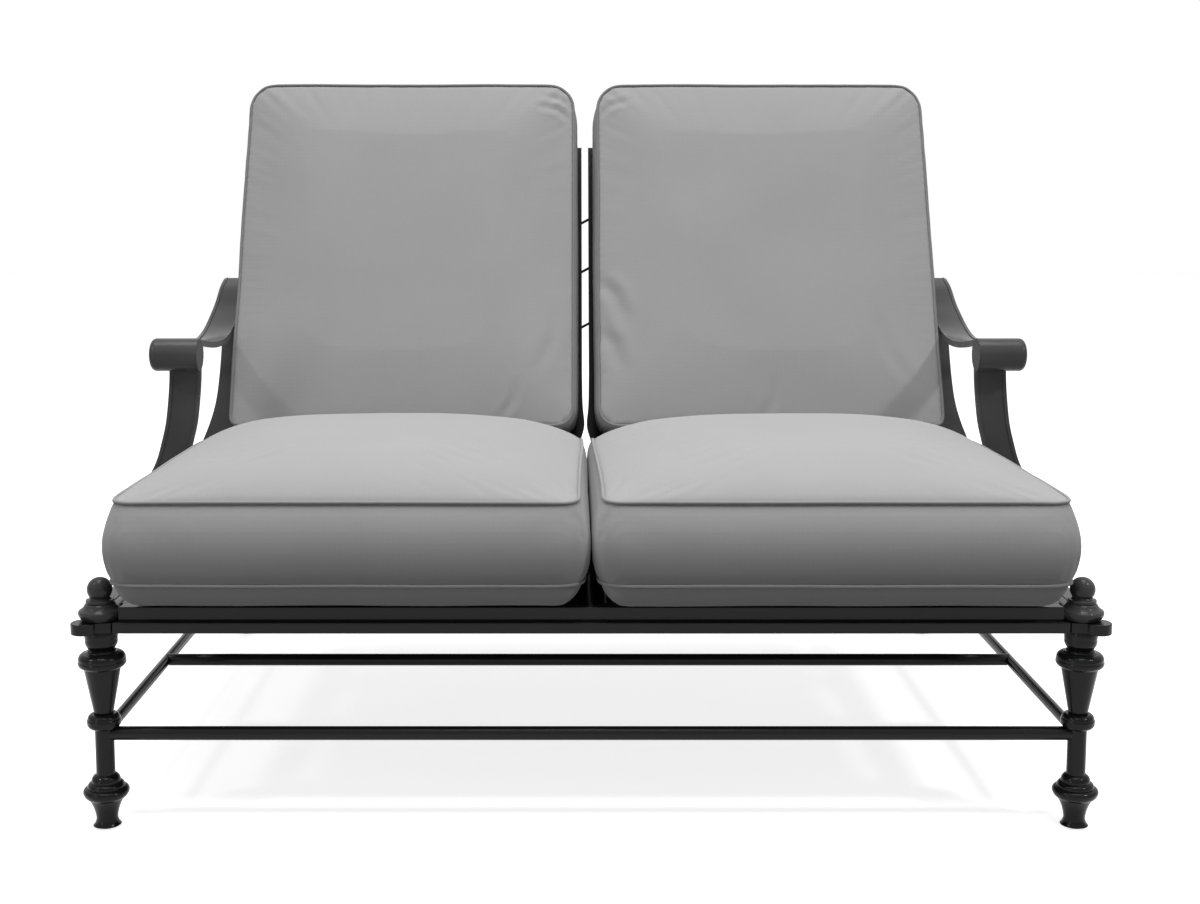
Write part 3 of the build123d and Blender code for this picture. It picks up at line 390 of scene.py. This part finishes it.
def woven_cloth(name, low, high):
    """Woven cloth with uneven threads, a soft mottle and a matt sheen."""
    material, nodes, links, shader, place = new_material(name)
    facing = nodes.new("ShaderNodeSeparateXYZ")
    links.new(nodes.new("ShaderNodeNewGeometry").outputs["True Normal"], facing.inputs[0])
    weave = None
    for axis in ("X", "Y", "Z"):
        wave = nodes.new("ShaderNodeTexWave")
        wave.wave_type = "BANDS"
        wave.bands_direction = axis
        wave.inputs["Scale"].default_value = 1 / (thread_pitch * waves_per_scale)
        wave.inputs["Distortion"].default_value = thread_wobble
        wave.inputs["Detail"].default_value = 1.0
        wave.inputs["Detail Scale"].default_value = 3.0
        links.new(place, wave.inputs["Vector"])
        turned = calculate(nodes, links, "ABSOLUTE", facing.outputs[axis])
        fade = span(nodes, links, turned, 1.0, 0.0, *axis_fade_range)
        threads = calculate(nodes, links, "MULTIPLY", wave.outputs["Fac"], fade)
        weave = threads if weave is None else calculate(nodes, links, "ADD", weave, threads)
    mottle = noise(nodes, links, place, mottle_grains, 4.0, 0.6)
    heather = noise(nodes, links, place, heather_grains, 2.0, 0.6)
    shade = calculate(
        nodes, links, "MULTIPLY_ADD", heather, heather_share,
        span(nodes, links, mottle, *mottle_range),
    )
    colour = grey_ramp(nodes, links, shade, low, high, *cloth_tone_range)
    links.new(colour, shader.inputs["Base Color"])
    shader.inputs["Roughness"].default_value = 0.88
    shader.inputs["Specular IOR Level"].default_value = 0.25
    shader.inputs["Sheen Weight"].default_value = 0.12
    shader.inputs["Sheen Roughness"].default_value = 0.5
    fine_relief(nodes, links, shader, weave, weave_strength)
    return material


seat_cloth = woven_cloth("grey_seat_cloth", (0.350, 0.350, 0.350), (0.400, 0.400, 0.400))
# The back cushions' cloth is the seats' cloth painted a shade darker, a painted shade.
back_shaded_cloth = woven_cloth("grey_back_cloth_painted_shade", (0.300, 0.298, 0.299), (0.352, 0.350, 0.351))
# The cords' copies of the cloth are painted darker than the panels', a painted shade along the
# seams.
seat_cord_shaded_cloth = woven_cloth("grey_seat_cord_painted_shade", (0.285, 0.285, 0.285), (0.325, 0.325, 0.325))
back_cord_shaded_cloth = woven_cloth("grey_back_cord_painted_shade", (0.180, 0.179, 0.180), (0.220, 0.219, 0.220))
print("cloths:", seat_cloth.name, back_shaded_cloth.name, "and their cords")

# %% [markdown]
# ## How a box cushion is made
# A box cushion has a top panel, a bottom panel and a band between them, the
# boxing, and a corded seam along each edge of it. The filling pushes the panels
# into a crown and the boxing into a bulge, and the cords hold their lines. The
# mesh starts as rings round the cushion, a few millimetres small. It is then
# remeshed evenly and blown up as cloth with the seams pinned, which gives it
# the tight, slightly uneven skin of a stuffed cover.

# %% Outline of a panel
outline_points = 200
corner_steps = 24


def panel_outline(low_x, high_x, low_y, high_y, radii):
    """Evenly spaced points and outward normals round a rounded rectangle.
    radii are those of the corners (low x, low y), (high x, low y),
    (high x, high y), (low x, high y)."""
    corners = (
        (low_x, low_y, 1, 1, 180), (high_x, low_y, -1, 1, 270),
        (high_x, high_y, -1, -1, 0), (low_x, high_y, 1, -1, 90),
    )
    dense = []
    for (x, y, side_x, side_y, start), radius in zip(corners, radii):
        middle = (x + side_x * radius, y + side_y * radius)
        for step in range(corner_steps + 1):
            angle = math.radians(start + 90 * step / corner_steps)
            dense.append(
                (middle[0] + radius * math.cos(angle), middle[1] + radius * math.sin(angle))
            )
    dense = np.array(dense + dense[:1])
    lengths = np.hypot(*np.diff(dense, axis=0).T)
    travelled = np.concatenate(([0], np.cumsum(lengths)))
    wanted = np.linspace(0, travelled[-1], outline_points, endpoint=False)
    x = np.interp(wanted, travelled, dense[:, 0])
    y = np.interp(wanted, travelled, dense[:, 1])
    run_x = np.roll(x, -1) - np.roll(x, 1)
    run_y = np.roll(y, -1) - np.roll(y, 1)
    size = np.hypot(run_x, run_y)
    return np.stack((x, y), axis=1), np.stack((run_y / size, -run_x / size), axis=1)


def smooth_table(position, table):
    """Read a smooth curve through rows of (position, value)."""
    places = [row[0] for row in table]
    values = [row[1] for row in table]
    slopes = np.gradient(values, places)
    if position <= places[0]:
        return values[0]
    if position >= places[-1]:
        return values[-1]
    i = max(k for k in range(len(places)) if places[k] <= position)
    step = places[i + 1] - places[i]
    t = (position - places[i]) / step
    return (
        (2 * t ** 3 - 3 * t ** 2 + 1) * values[i] + (t ** 3 - 2 * t ** 2 + t) * step * slopes[i]
        + (3 * t ** 2 - 2 * t ** 3) * values[i + 1] + (t ** 3 - t ** 2) * step * slopes[i + 1]
    )


# %% Rings into a mesh
def mesh_from_rings(name, rings, low_cap, high_cap):
    """A closed mesh from rings of points, with a fan at each end."""
    builder = bmesh.new()
    made = [[builder.verts.new(point) for point in ring] for ring in rings]
    low_middle = builder.verts.new(low_cap)
    high_middle = builder.verts.new(high_cap)
    count = len(made[0])
    for below, above in zip(made, made[1:]):
        for i in range(count):
            j = (i + 1) % count
            builder.faces.new((below[i], below[j], above[j], above[i]))
    for i in range(count):
        j = (i + 1) % count
        builder.faces.new((low_middle, made[0][j], made[0][i]))
        builder.faces.new((high_middle, made[-1][i], made[-1][j]))
    bmesh.ops.recalc_face_normals(builder, faces=builder.faces)
    mesh = bpy.data.meshes.new(name)
    builder.to_mesh(mesh)
    builder.free()
    piece = bpy.data.objects.new(name, mesh)
    scene.collection.objects.link(piece)
    return piece


# %% Even mesh and stuffing
voxel = 0.006
stuffing_pressure = 4.0
stuffing_frames = 20
least_pin = 0.01
least_move = 1e-9


def even_mesh(piece):
    """Replace a piece's mesh by an even one of small quads."""
    remesh = piece.modifiers.new("even", "REMESH")
    remesh.mode = "VOXEL"
    remesh.voxel_size = voxel
    remesh.use_smooth_shade = True
    graph = bpy.context.evaluated_depsgraph_get()
    even = bpy.data.meshes.new_from_object(piece.evaluated_get(graph))
    piece.modifiers.clear()
    piece.data = even


def point_values(mesh, kind):
    """What a mesh holds for each point, its place or its normal, as an array."""
    values = np.empty(len(mesh.vertices) * 3)
    mesh.vertices.foreach_get(kind, values)
    return values.reshape(-1, 3)


def coordinates(mesh):
    """A mesh's points."""
    return point_values(mesh, "co")


def skin_normals(mesh):
    """A mesh's point normals."""
    return point_values(mesh, "normal")


def set_coordinates(mesh, values):
    """Write an array of points back to a mesh."""
    mesh.vertices.foreach_set("co", values.reshape(-1))
    mesh.update()


def stuff(piece, held, most):
    """Blow a cover up as cloth. held is a pin weight for each point, and no
    point moves further than most."""
    start = coordinates(piece.data)
    group = piece.vertex_groups.new(name="seams")
    for index in np.nonzero(held > least_pin)[0]:
        group.add([int(index)], float(held[index]), "REPLACE")
    cloth = piece.modifiers.new("cover", "CLOTH")
    cloth.settings.quality = 3
    cloth.settings.mass = 0.35
    cloth.settings.tension_stiffness = 18
    cloth.settings.compression_stiffness = 18
    cloth.settings.shear_stiffness = 8
    cloth.settings.bending_stiffness = 0.6
    cloth.settings.use_pressure = True
    cloth.settings.uniform_pressure_force = stuffing_pressure
    cloth.settings.vertex_group_mass = "seams"
    cloth.settings.effector_weights.gravity = 0.0
    cloth.point_cache.frame_start = 1
    cloth.point_cache.frame_end = stuffing_frames
    for number in range(1, stuffing_frames + 1):
        scene.frame_set(number)
    graph = bpy.context.evaluated_depsgraph_get()
    blown = coordinates(piece.evaluated_get(graph).data)
    piece.modifiers.clear()
    move = blown - start
    far = np.linalg.norm(move, axis=1, keepdims=True)
    scale = np.where(far > most, most / np.maximum(far, least_move), 1.0)
    set_coordinates(piece.data, start + move * scale)
    scene.frame_set(1)
    return float(far.max())


print("stuffing: voxel", voxel, "pressure", stuffing_pressure)

# %% [markdown]
# ## The corded seams
# Each seam is covered by a cord in a strip of the same cloth. The cord's cloth is
# painted a shade darker, a painted shade for the way it curves away from the light.
# After stuffing, the seam's line is laid back on the swollen skin, the skin is
# drawn in beside it, and a thin tube follows the line.

# %% Cords
cord_radius = 0.0026
cord_lift = 0.75 * cord_radius
seam_reach = 0.011
seam_depth = 0.0015
points_at_once = 4000


def distance_to_line(points, line):
    """The distance of each point from a closed line, given as dense points."""
    from_line = np.empty(len(points))
    parts = max(1, len(points) // points_at_once)
    for part in np.array_split(np.arange(len(points)), parts):
        gaps = points[part][:, None, :] - line[None, :, :]
        from_line[part] = np.sqrt((gaps ** 2).sum(axis=2)).min(axis=1)
    return from_line


def draw_in(piece, lines):
    """Press a soft valley into the skin along the seams."""
    points = coordinates(piece.data)
    normals = skin_normals(piece.data)
    for line in lines:
        gap = distance_to_line(points, line)
        depth = seam_depth * np.exp(-((gap / (seam_reach / 2)) ** 2))
        points = points - normals * depth[:, None]
    set_coordinates(piece.data, points)


def lay_on(piece, line):
    """Put a line's points on the skin of a piece, raised for the cord."""
    graph = bpy.context.evaluated_depsgraph_get()
    tree = BVHTree.FromObject(piece, graph)
    laid = []
    for point in line:
        place, normal, _, _ = tree.find_nearest(Vector(point))
        laid.append(place + normal * cord_lift)
    return laid


def cord(name, line, body, cloth):
    """A corded seam: a closed thin tube along the line."""
    curve = bpy.data.curves.new(name, "CURVE")
    curve.dimensions = "3D"
    curve.bevel_depth = cord_radius
    curve.bevel_resolution = 4
    curve.resolution_u = 2
    path = curve.splines.new("NURBS")
    path.points.add(len(line) - 1)
    for point, place in zip(path.points, line):
        point.co = (*place, 1.0)
    path.order_u = 3
    path.use_cyclic_u = True
    piece = bpy.data.objects.new(name, curve)
    scene.collection.objects.link(piece)
    curve.materials.append(cloth)
    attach(piece, body)


print("cord radius", round(cord_radius * 1000, 1), "mm")

# %% [markdown]
# ## The seat cushions
# Each seat cushion is a deep box, crowned by nearly five centimetres. Its top
# drops again at the back, where the back cushion stands on it. The lower seam
# runs a little above the frame, and the bottom panel curls under to the slats.
# On the inner side the two cushions press against each other and meet closest at
# the rear, and the outer front corners stand out like ears over the finials.

# %% Seat cushion sizes
front_leg_y = -0.4475
seat_inner_x = 0.015
seat_outer_x = 0.628
seat_ear = 0.0125
seat_ear_start = -0.01
seat_ear_length = 0.17
seat_meet = 0.0074
seat_meet_length = 0.50
seat_gap = 0.0003
seat_front_depth = -0.045
seat_back_depth = 0.655
seat_front_y = front_leg_y + seat_front_depth
seat_back_y = front_leg_y + seat_back_depth
seat_bottom_z = 0.3129
seat_bottom_inset = 0.044
seat_low_seam_z = 0.350
seat_low_seam_out = 0.0065
seat_seam_z = 0.4625
seat_rear_flatness = 0.6
seat_corners = (0.028, 0.028, 0.045, 0.014)
seat_bottom_shares = (0.15, 0.4, 0.65, 0.85)
panel_shares = (0.985, 0.965, 0.94, 0.91, 0.87, 0.82, 0.76, 0.68, 0.58, 0.46, 0.32, 0.16)
shrink = 0.003

# Along the depth, behind the front legs: the height of the side seams, and that
# of the top along the middle of the cushion.
seat_seam_line = (
    (seat_front_depth, seat_seam_z), (0.03, 0.4645), (0.10, 0.4675), (0.20, 0.4690),
    (0.32, 0.468), (0.42, 0.4655), (0.50, 0.4595), (0.578, 0.4475), (seat_back_depth, 0.437),
)
seat_middle_line = (
    (seat_front_depth, seat_seam_z), (-0.0391, 0.4719), (-0.0307, 0.4813), (-0.0201, 0.4903),
    (-0.0062, 0.4985), (0.0115, 0.5060), (0.0365, 0.5122), (0.065, 0.5150), (0.10, 0.5165),
    (0.16, 0.5175), (0.24, 0.5170), (0.31, 0.5160), (0.38, 0.5135), (0.44, 0.5090),
    (0.49, 0.4995), (0.525, 0.4860), (0.55, 0.4715), (0.57, 0.4607), (0.60, 0.4525),
    (seat_back_depth, 0.4385),
)
# How much of the crown is reached at a distance from the nearer side seam.
seat_cross_line = ((0.0, 0.0), (0.02, 0.30), (0.055, 0.62), (0.145, 0.915), (0.307, 1.0))
# Up the boxing: the height, and how far it stands out beyond the upper seam.
seat_rings = (
    (seat_bottom_z, -seat_bottom_inset), (0.3138, -0.029), (0.3175, -0.018), (0.3240, -0.0085),
    (0.3320, -0.001), (0.3410, 0.0035), (seat_low_seam_z, seat_low_seam_out), (0.359, 0.0118),
    (0.374, 0.0172), (0.392, 0.0198), (0.410, 0.0187), (0.426, 0.0148), (0.441, 0.0095),
    (0.453, 0.0045), (seat_seam_z, 0.0),
)


def smooth_step(share):
    """Ease a share from 0 to 1, and hold it at both ends."""
    share = min(1.0, max(0.0, share))
    return share * share * (3 - 2 * share)


def ear(depth):
    """How far the outer front corner stands out beyond the side, at a depth."""
    return seat_ear * (1 - smooth_step((depth - seat_ear_start) / seat_ear_length))


def meet(depth):
    """How much closer to its neighbour the inner side runs, at a depth."""
    return seat_meet * smooth_step((depth - seat_front_depth) / seat_meet_length)


def seat_top_level(x, y):
    """The height of the seat's top panel at a place, for the right-hand cushion."""
    depth = y - front_leg_y
    seam = smooth_table(depth, seat_seam_line)
    middle = smooth_table(depth, seat_middle_line)
    inside = min(x - seat_inner_x + meet(depth), seat_outer_x + ear(depth) - x)
    return seam + (middle - seam) * smooth_table(inside, seat_cross_line)


def press_flat(x, wall, softness=0.003):
    """Keep a value above a wall, easing in softly where it leans on it."""
    over = x - wall
    return wall + (over + np.sqrt(over ** 2 + softness ** 2)) / 2


# %% Seat cushion start shape
def seat_start(name):
    """The start shape of the right-hand seat cushion, and its two seam lines."""
    plan, outward = panel_outline(
        seat_inner_x, seat_outer_x, seat_front_y, seat_back_y, seat_corners
    )
    middle = np.array([(seat_inner_x + seat_outer_x) / 2, (seat_front_y + seat_back_y) / 2])
    outer_share = np.clip((plan[:, 0] - middle[0]) / (seat_outer_x - middle[0]), 0, 1)
    inner_share = np.clip((middle[0] - plan[:, 0]) / (middle[0] - seat_inner_x), 0, 1)
    plan[:, 0] += outer_share ** 2 * np.array([ear(y - front_leg_y) for _, y in plan])
    plan[:, 0] -= inner_share ** 2 * np.array([meet(y - front_leg_y) for _, y in plan])
    behind = np.maximum(0, outward[:, 1])[:, None]
    seam_drop = np.array([smooth_table(y - front_leg_y, seat_seam_line) for _, y in plan])
    seam_drop = seam_drop - seat_seam_z
    rings = []
    for share in seat_bottom_shares:
        flat = middle + (plan - outward * seat_bottom_inset - middle) * share
        rings.append([(x, y, seat_bottom_z) for x, y in flat])
    for level, out in seat_rings:
        ring = plan + outward * (out - shrink) * (1 - seat_rear_flatness * behind * (out > 0))
        high = (level - seat_bottom_z) / (seat_seam_z - seat_bottom_z)
        rings.append(
            [
                (float(press_flat(x, seat_gap)), y, level + drop * high)
                for (x, y), drop in zip(ring, seam_drop)
            ]
        )
    for share in panel_shares:
        flat = middle + (plan - outward * shrink - middle) * share
        rings.append([(x, y, seat_top_level(x, y) - shrink / 2) for x, y in flat])
    low_cap = (middle[0], middle[1], seat_bottom_z)
    high_cap = (middle[0], middle[1], seat_top_level(*middle) - shrink / 2)
    piece = mesh_from_rings(name, rings, low_cap, high_cap)
    upper = [(x, y, seat_seam_z + drop) for (x, y), drop in zip(plan, seam_drop)]
    low_share = (seat_low_seam_z - seat_bottom_z) / (seat_seam_z - seat_bottom_z)
    lower = [
        (x, y, seat_low_seam_z + drop * low_share)
        for (x, y), drop in zip(plan + outward * seat_low_seam_out, seam_drop)
    ]
    return piece, np.array(upper), np.array(lower)


# %% [markdown]
# ## Creases and an uneven filling
# A stuffed cover is never quite regular. The filling leaves broad, shallow
# hollows, and near the corners the cloth is gathered into a few short creases.
# Both are pressed into the finished skin: the hollows from smooth noise, and
# each crease as a narrow valley with a small ridge beside it.

# %% Unevenness
crease_steps = 12
crease_reach = 0.16
crease_ridge = 0.55
crease_fading = 0.7


def uneven(piece, height, size, offset):
    """Raise and lower the skin by smooth noise, which is the same on each run."""
    points = coordinates(piece.data)
    normals = skin_normals(piece.data)
    wave = np.array([noise_field.noise(Vector(point) / size + offset) for point in points])
    set_coordinates(piece.data, points + normals * (wave * height)[:, None])


def press_creases(piece, creases):
    """Press short creases into the skin. Each is an array of places, a depth and
    a width, and fades out at both ends."""
    points = coordinates(piece.data)
    normals = skin_normals(piece.data)
    for places, depth, width in creases:
        dense = []
        for start, end in zip(places, places[1:]):
            for step in range(crease_steps):
                dense.append(start + (end - start) * step / crease_steps)
        dense = np.array(dense)
        from_middle = np.linalg.norm(points - dense.mean(axis=0), axis=1)
        near = np.nonzero(from_middle < crease_reach)[0]
        gaps = np.linalg.norm(points[near][:, None, :] - dense[None, :, :], axis=2)
        nearest = gaps.argmin(axis=1)
        gap = gaps.min(axis=1)
        fade = np.sin(np.pi * (nearest + 0.5) / len(dense)) ** crease_fading
        valley = np.exp(-((gap / width) ** 2))
        ridge = crease_ridge * np.exp(-(((gap - 2 * width) / width) ** 2))
        points[near] += normals[near] * ((ridge - valley) * fade * depth)[:, None]
    set_coordinates(piece.data, points)


# %% Dressing a cushion
seam_pin_reach = 0.007
sides = {"left": -1, "right": 1}


def stuffed_skin(piece, lines, still, most):
    """Even out a start shape and blow it up, with its seams held."""
    even_mesh(piece)
    points = coordinates(piece.data)
    held = still(points)
    for line in lines:
        gap = distance_to_line(points, line)
        held = np.maximum(held, np.exp(-((gap / seam_pin_reach) ** 2)))
    moved = stuff(piece, held, most)
    print(piece.name, "swelled by up to", round(moved * 1000, 1), "mm")


def mirrored_skin(piece, name):
    """The same skin for the other side of the seat."""
    mesh = piece.data.copy()
    points = coordinates(mesh)
    points[:, 0] *= -1
    set_coordinates(mesh, points)
    mesh.flip_normals()
    twin = bpy.data.objects.new(name, mesh)
    scene.collection.objects.link(twin)
    return twin


def dress(piece, lines, body, node, cloth, cord_shaded_cloth):
    """Seam, smooth and clothe a cushion, and cord its seams."""
    draw_in(piece, lines)
    for polygon in piece.data.polygons:
        polygon.use_smooth = True
    piece.data.materials.clear()
    piece.data.materials.append(cloth)
    round_off = piece.modifiers.new("round_off", "SUBSURF")
    round_off.levels = 1
    round_off.render_levels = 1
    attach(piece, body)
    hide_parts(node)
    for number, line in enumerate(lines):
        cord(
            f"{piece.name}_cord_{number + 1}", lay_on(piece, line), body, cord_shaded_cloth
        )


def on_side(line, side):
    """A line of the right-hand cushion, on the side whose sign is given."""
    return np.array(line) * np.array([side, 1, 1])


# %% Seat cushions
still_skin = 0.006
seat_still_depth = 0.50
seat_still_easing = 0.05
seat_touch_x = 0.008
seat_touch_easing = 0.004


def seat_still(points):
    """The bottom panel, the back of the top and the side where the cushions meet
    lie against their neighbours."""
    low = np.where(points[:, 2] < seat_bottom_z + still_skin, 1.0, 0.0)
    rear = (points[:, 1] - front_leg_y - seat_still_depth) / seat_still_easing
    inner = (seat_touch_x - points[:, 0]) / seat_touch_easing
    return np.maximum(np.maximum(low, np.clip(rear, 0, 1)), np.clip(inner, 0, 1))


seat_right, upper, lower = seat_start("seat_pad_cover_right")
stuffed_skin(seat_right, (upper, lower), seat_still, most=0.005)
seats = {"left": mirrored_skin(seat_right, "seat_pad_cover_left"), "right": seat_right}
seat_hollows = {"left": Vector((3.1, 0.4, 7.7)), "right": Vector((9.3, 5.2, 1.9))}
for side_name, side in sides.items():
    seat = seats[side_name]
    uneven(seat, height=0.0016, size=0.16, offset=seat_hollows[side_name])
    dress(
        seat, [on_side(seam, side) for seam in (upper, lower)],
        f"seat_pad_{side_name}", f"seat_cushion_{side_name}",
        seat_cloth, seat_cord_shaded_cloth,
    )
print("seat cushions done")

# %% [markdown]
# ## The back cushions
# The back cushions lean at 23 degrees against the lattice. Their front panels
# are almost flat with a low crown, and the corners are well rounded. They are
# drawn lying in the plane of the back: X across, a second axis up the lean, and
# a third for how far a point lies behind the front panel. The foot sinks a
# little way into the soft seat, and the outer side swells until it meets the
# arm band, which holds it flat.

# %% Back cushion sizes
lean = math.radians(23)
lean_up = Vector((0, math.sin(lean), math.cos(lean)))
lean_behind = Vector((0, math.cos(lean), -math.sin(lean)))
back_foot_depth = 0.578
back_foot_z = 0.488
back_foot = Vector((0, front_leg_y + back_foot_depth, back_foot_z))
back_inner_x = 0.019
back_outer_x = 0.604
back_low = -0.021
back_length = 0.6255
back_spread = (0.0065, 0.0105)
arm_wall_x = 0.6186
back_thickness = 0.149
back_crown_height = 0.020
back_foot_rise = 0.018
back_foot_reach = 0.12
back_foot_flatness = 0.8
back_corners = (0.034, 0.016, 0.048, 0.048)
back_rear_shares = (0.2, 0.5, 0.75, 0.93)
# From the rear seam to the front one: the share of the thickness, and how far
# the boxing stands out.
back_rings = (
    (1.0, 0.0), (0.985, 0.002), (0.93, 0.0045), (0.8, 0.0065), (0.65, 0.0075), (0.5, 0.008),
    (0.35, 0.0070), (0.22, 0.0050), (0.12, 0.0025), (0.05, 0.0008), (0.0, 0.0),
)
# How much of the crown is reached at a distance from the nearer side seam, and
# at a height up the lean.
back_cross_line = (
    (0.0, 0.0), (0.015, 0.28), (0.04, 0.53), (0.08, 0.75), (0.13, 0.895), (0.19, 0.965),
    (0.24, 0.99), (0.29, 1.0),
)
back_up_line = (
    (back_low, 0.0), (0.0, 0.36), (0.03, 0.63), (0.07, 0.83), (0.12, 0.94), (0.19, 0.99),
    (0.26, 1.0), (0.34, 0.985), (0.42, 0.93), (0.50, 0.84), (0.56, 0.70), (0.60, 0.46),
    (back_length, 0.0),
)


def in_lean(x, up, behind):
    """A place in the plane of the back, as a place in the room."""
    return back_foot + Vector((x, 0, 0)) + lean_up * up + lean_behind * behind


def spread(up):
    """How much wider than its pattern the stuffed cushion is on the outer side."""
    share = min(1.0, max(0.0, up / back_length))
    return back_spread[1] + (back_spread[0] - back_spread[1]) * share


def back_front(x, up):
    """How far behind the seam plane the front panel lies: negative is crowned."""
    inside = min(x - back_inner_x, back_outer_x + spread(up) - x)
    return (
        -back_crown_height
        * smooth_table(inside, back_cross_line) * smooth_table(up, back_up_line)
    )


# %% Back cushion start shape
def back_start(name):
    """The start shape of the right-hand back cushion, and its two seam lines."""
    plan, outward = panel_outline(
        back_inner_x, back_outer_x, back_low, back_length, back_corners
    )
    middle = np.array([(back_inner_x + back_outer_x) / 2, (back_low + back_length) / 2])
    outer_share = np.clip((plan[:, 0] - middle[0]) / (back_outer_x - middle[0]), 0, 1)
    plan[:, 0] += outer_share * np.array([spread(up) for _, up in plan])
    below = np.maximum(0, -outward[:, 1])[:, None]
    rings = []

    def foot_rise(up, share):
        """The underside slopes, so that it stands on the seat cushion."""
        return back_foot_rise * share * max(0.0, 1 - (up - back_low) / back_foot_reach)

    for share in back_rear_shares:
        flat = middle + (plan - middle) * share
        rings.append([in_lean(x, u + foot_rise(u, 1), back_thickness) for x, u in flat])
    for depth, out in back_rings:
        flatter = 1 - back_foot_flatness * below * (out > shrink)
        ring = plan + outward * (out - shrink) * flatter
        ring[:, 0] = -press_flat(-ring[:, 0], -arm_wall_x)
        rings.append(
            [in_lean(x, u + foot_rise(u, depth), back_thickness * depth) for x, u in ring]
        )
    for share in panel_shares:
        flat = middle + (plan - outward * shrink - middle) * share
        rings.append([in_lean(x, u, back_front(x, u) + shrink / 2) for x, u in flat])
    low_cap = in_lean(middle[0], middle[1], back_thickness)
    high_cap = in_lean(middle[0], middle[1], back_front(*middle) + shrink / 2)
    piece = mesh_from_rings(name, rings, low_cap, high_cap)
    front = [tuple(in_lean(x, u, 0)) for x, u in plan]
    rear = [tuple(in_lean(x, u + foot_rise(u, 1), back_thickness - shrink)) for x, u in plan]
    return piece, np.array(front), np.array(rear)


# %% Back cushions
back_still_height = 0.012
back_still_easing = 0.02


def back_still(points):
    """The rear panel and the foot lie against their neighbours."""
    place = points - np.array(back_foot)
    behind = place @ np.array(lean_behind)
    up = place @ np.array(lean_up)
    rear = np.where(behind > back_thickness - still_skin, 1.0, 0.0)
    foot = np.clip((back_still_height - up) / back_still_easing, 0, 1)
    return np.maximum(rear, foot)


def on_front(x, up):
    """A place on the front panel of the right-hand back cushion."""
    return tuple(in_lean(x, up, back_front(x, up)))


back_right, front, rear = back_start("back_pad_cover_right")
stuffed_skin(back_right, (front, rear), back_still, most=0.006)
backs = {"left": mirrored_skin(back_right, "back_pad_cover_left"), "right": back_right}
# Each crease is three places on the front panel, a depth and a width.
creases = {
    "right": (
        (((0.026, 0.560), (0.045, 0.580), (0.085, 0.590)), 0.0018, 0.0055),
        (((0.024, 0.245), (0.048, 0.215), (0.068, 0.165)), 0.0030, 0.0110),
        (((0.024, 0.155), (0.045, 0.125), (0.058, 0.075)), 0.0032, 0.0120),
        (((0.560, 0.050), (0.520, 0.110), (0.500, 0.180)), 0.0012, 0.0100),
        (((0.300, -0.012), (0.318, 0.020), (0.322, 0.060)), 0.0013, 0.0080),
    ),
    "left": (
        (((0.024, 0.575), (0.044, 0.592), (0.080, 0.600)), 0.0020, 0.0050),
        (((0.026, 0.548), (0.050, 0.570), (0.095, 0.578)), 0.0018, 0.0055),
        (((0.150, -0.010), (0.128, 0.020), (0.118, 0.060)), 0.0020, 0.0065),
        (((0.090, 0.070), (0.060, 0.130), (0.052, 0.200)), 0.0012, 0.0100),
    ),
}
back_hollows = {"left": Vector((1.7, 8.4, 2.6)), "right": Vector((6.5, 0.9, 4.1))}
for side_name, side in sides.items():
    back = backs[side_name]
    uneven(back, height=0.0018, size=0.14, offset=back_hollows[side_name])
    press_creases(
        back,
        [
            (on_side([on_front(*place) for place in places], side), depth, width)
            for places, depth, width in creases[side_name]
        ],
    )
    dress(
        back, [on_side(seam, side) for seam in (front, rear)],
        f"back_pad_{side_name}", f"back_cushion_{side_name}",
        back_shaded_cloth, back_cord_shaded_cloth,
    )
print("back cushions done")
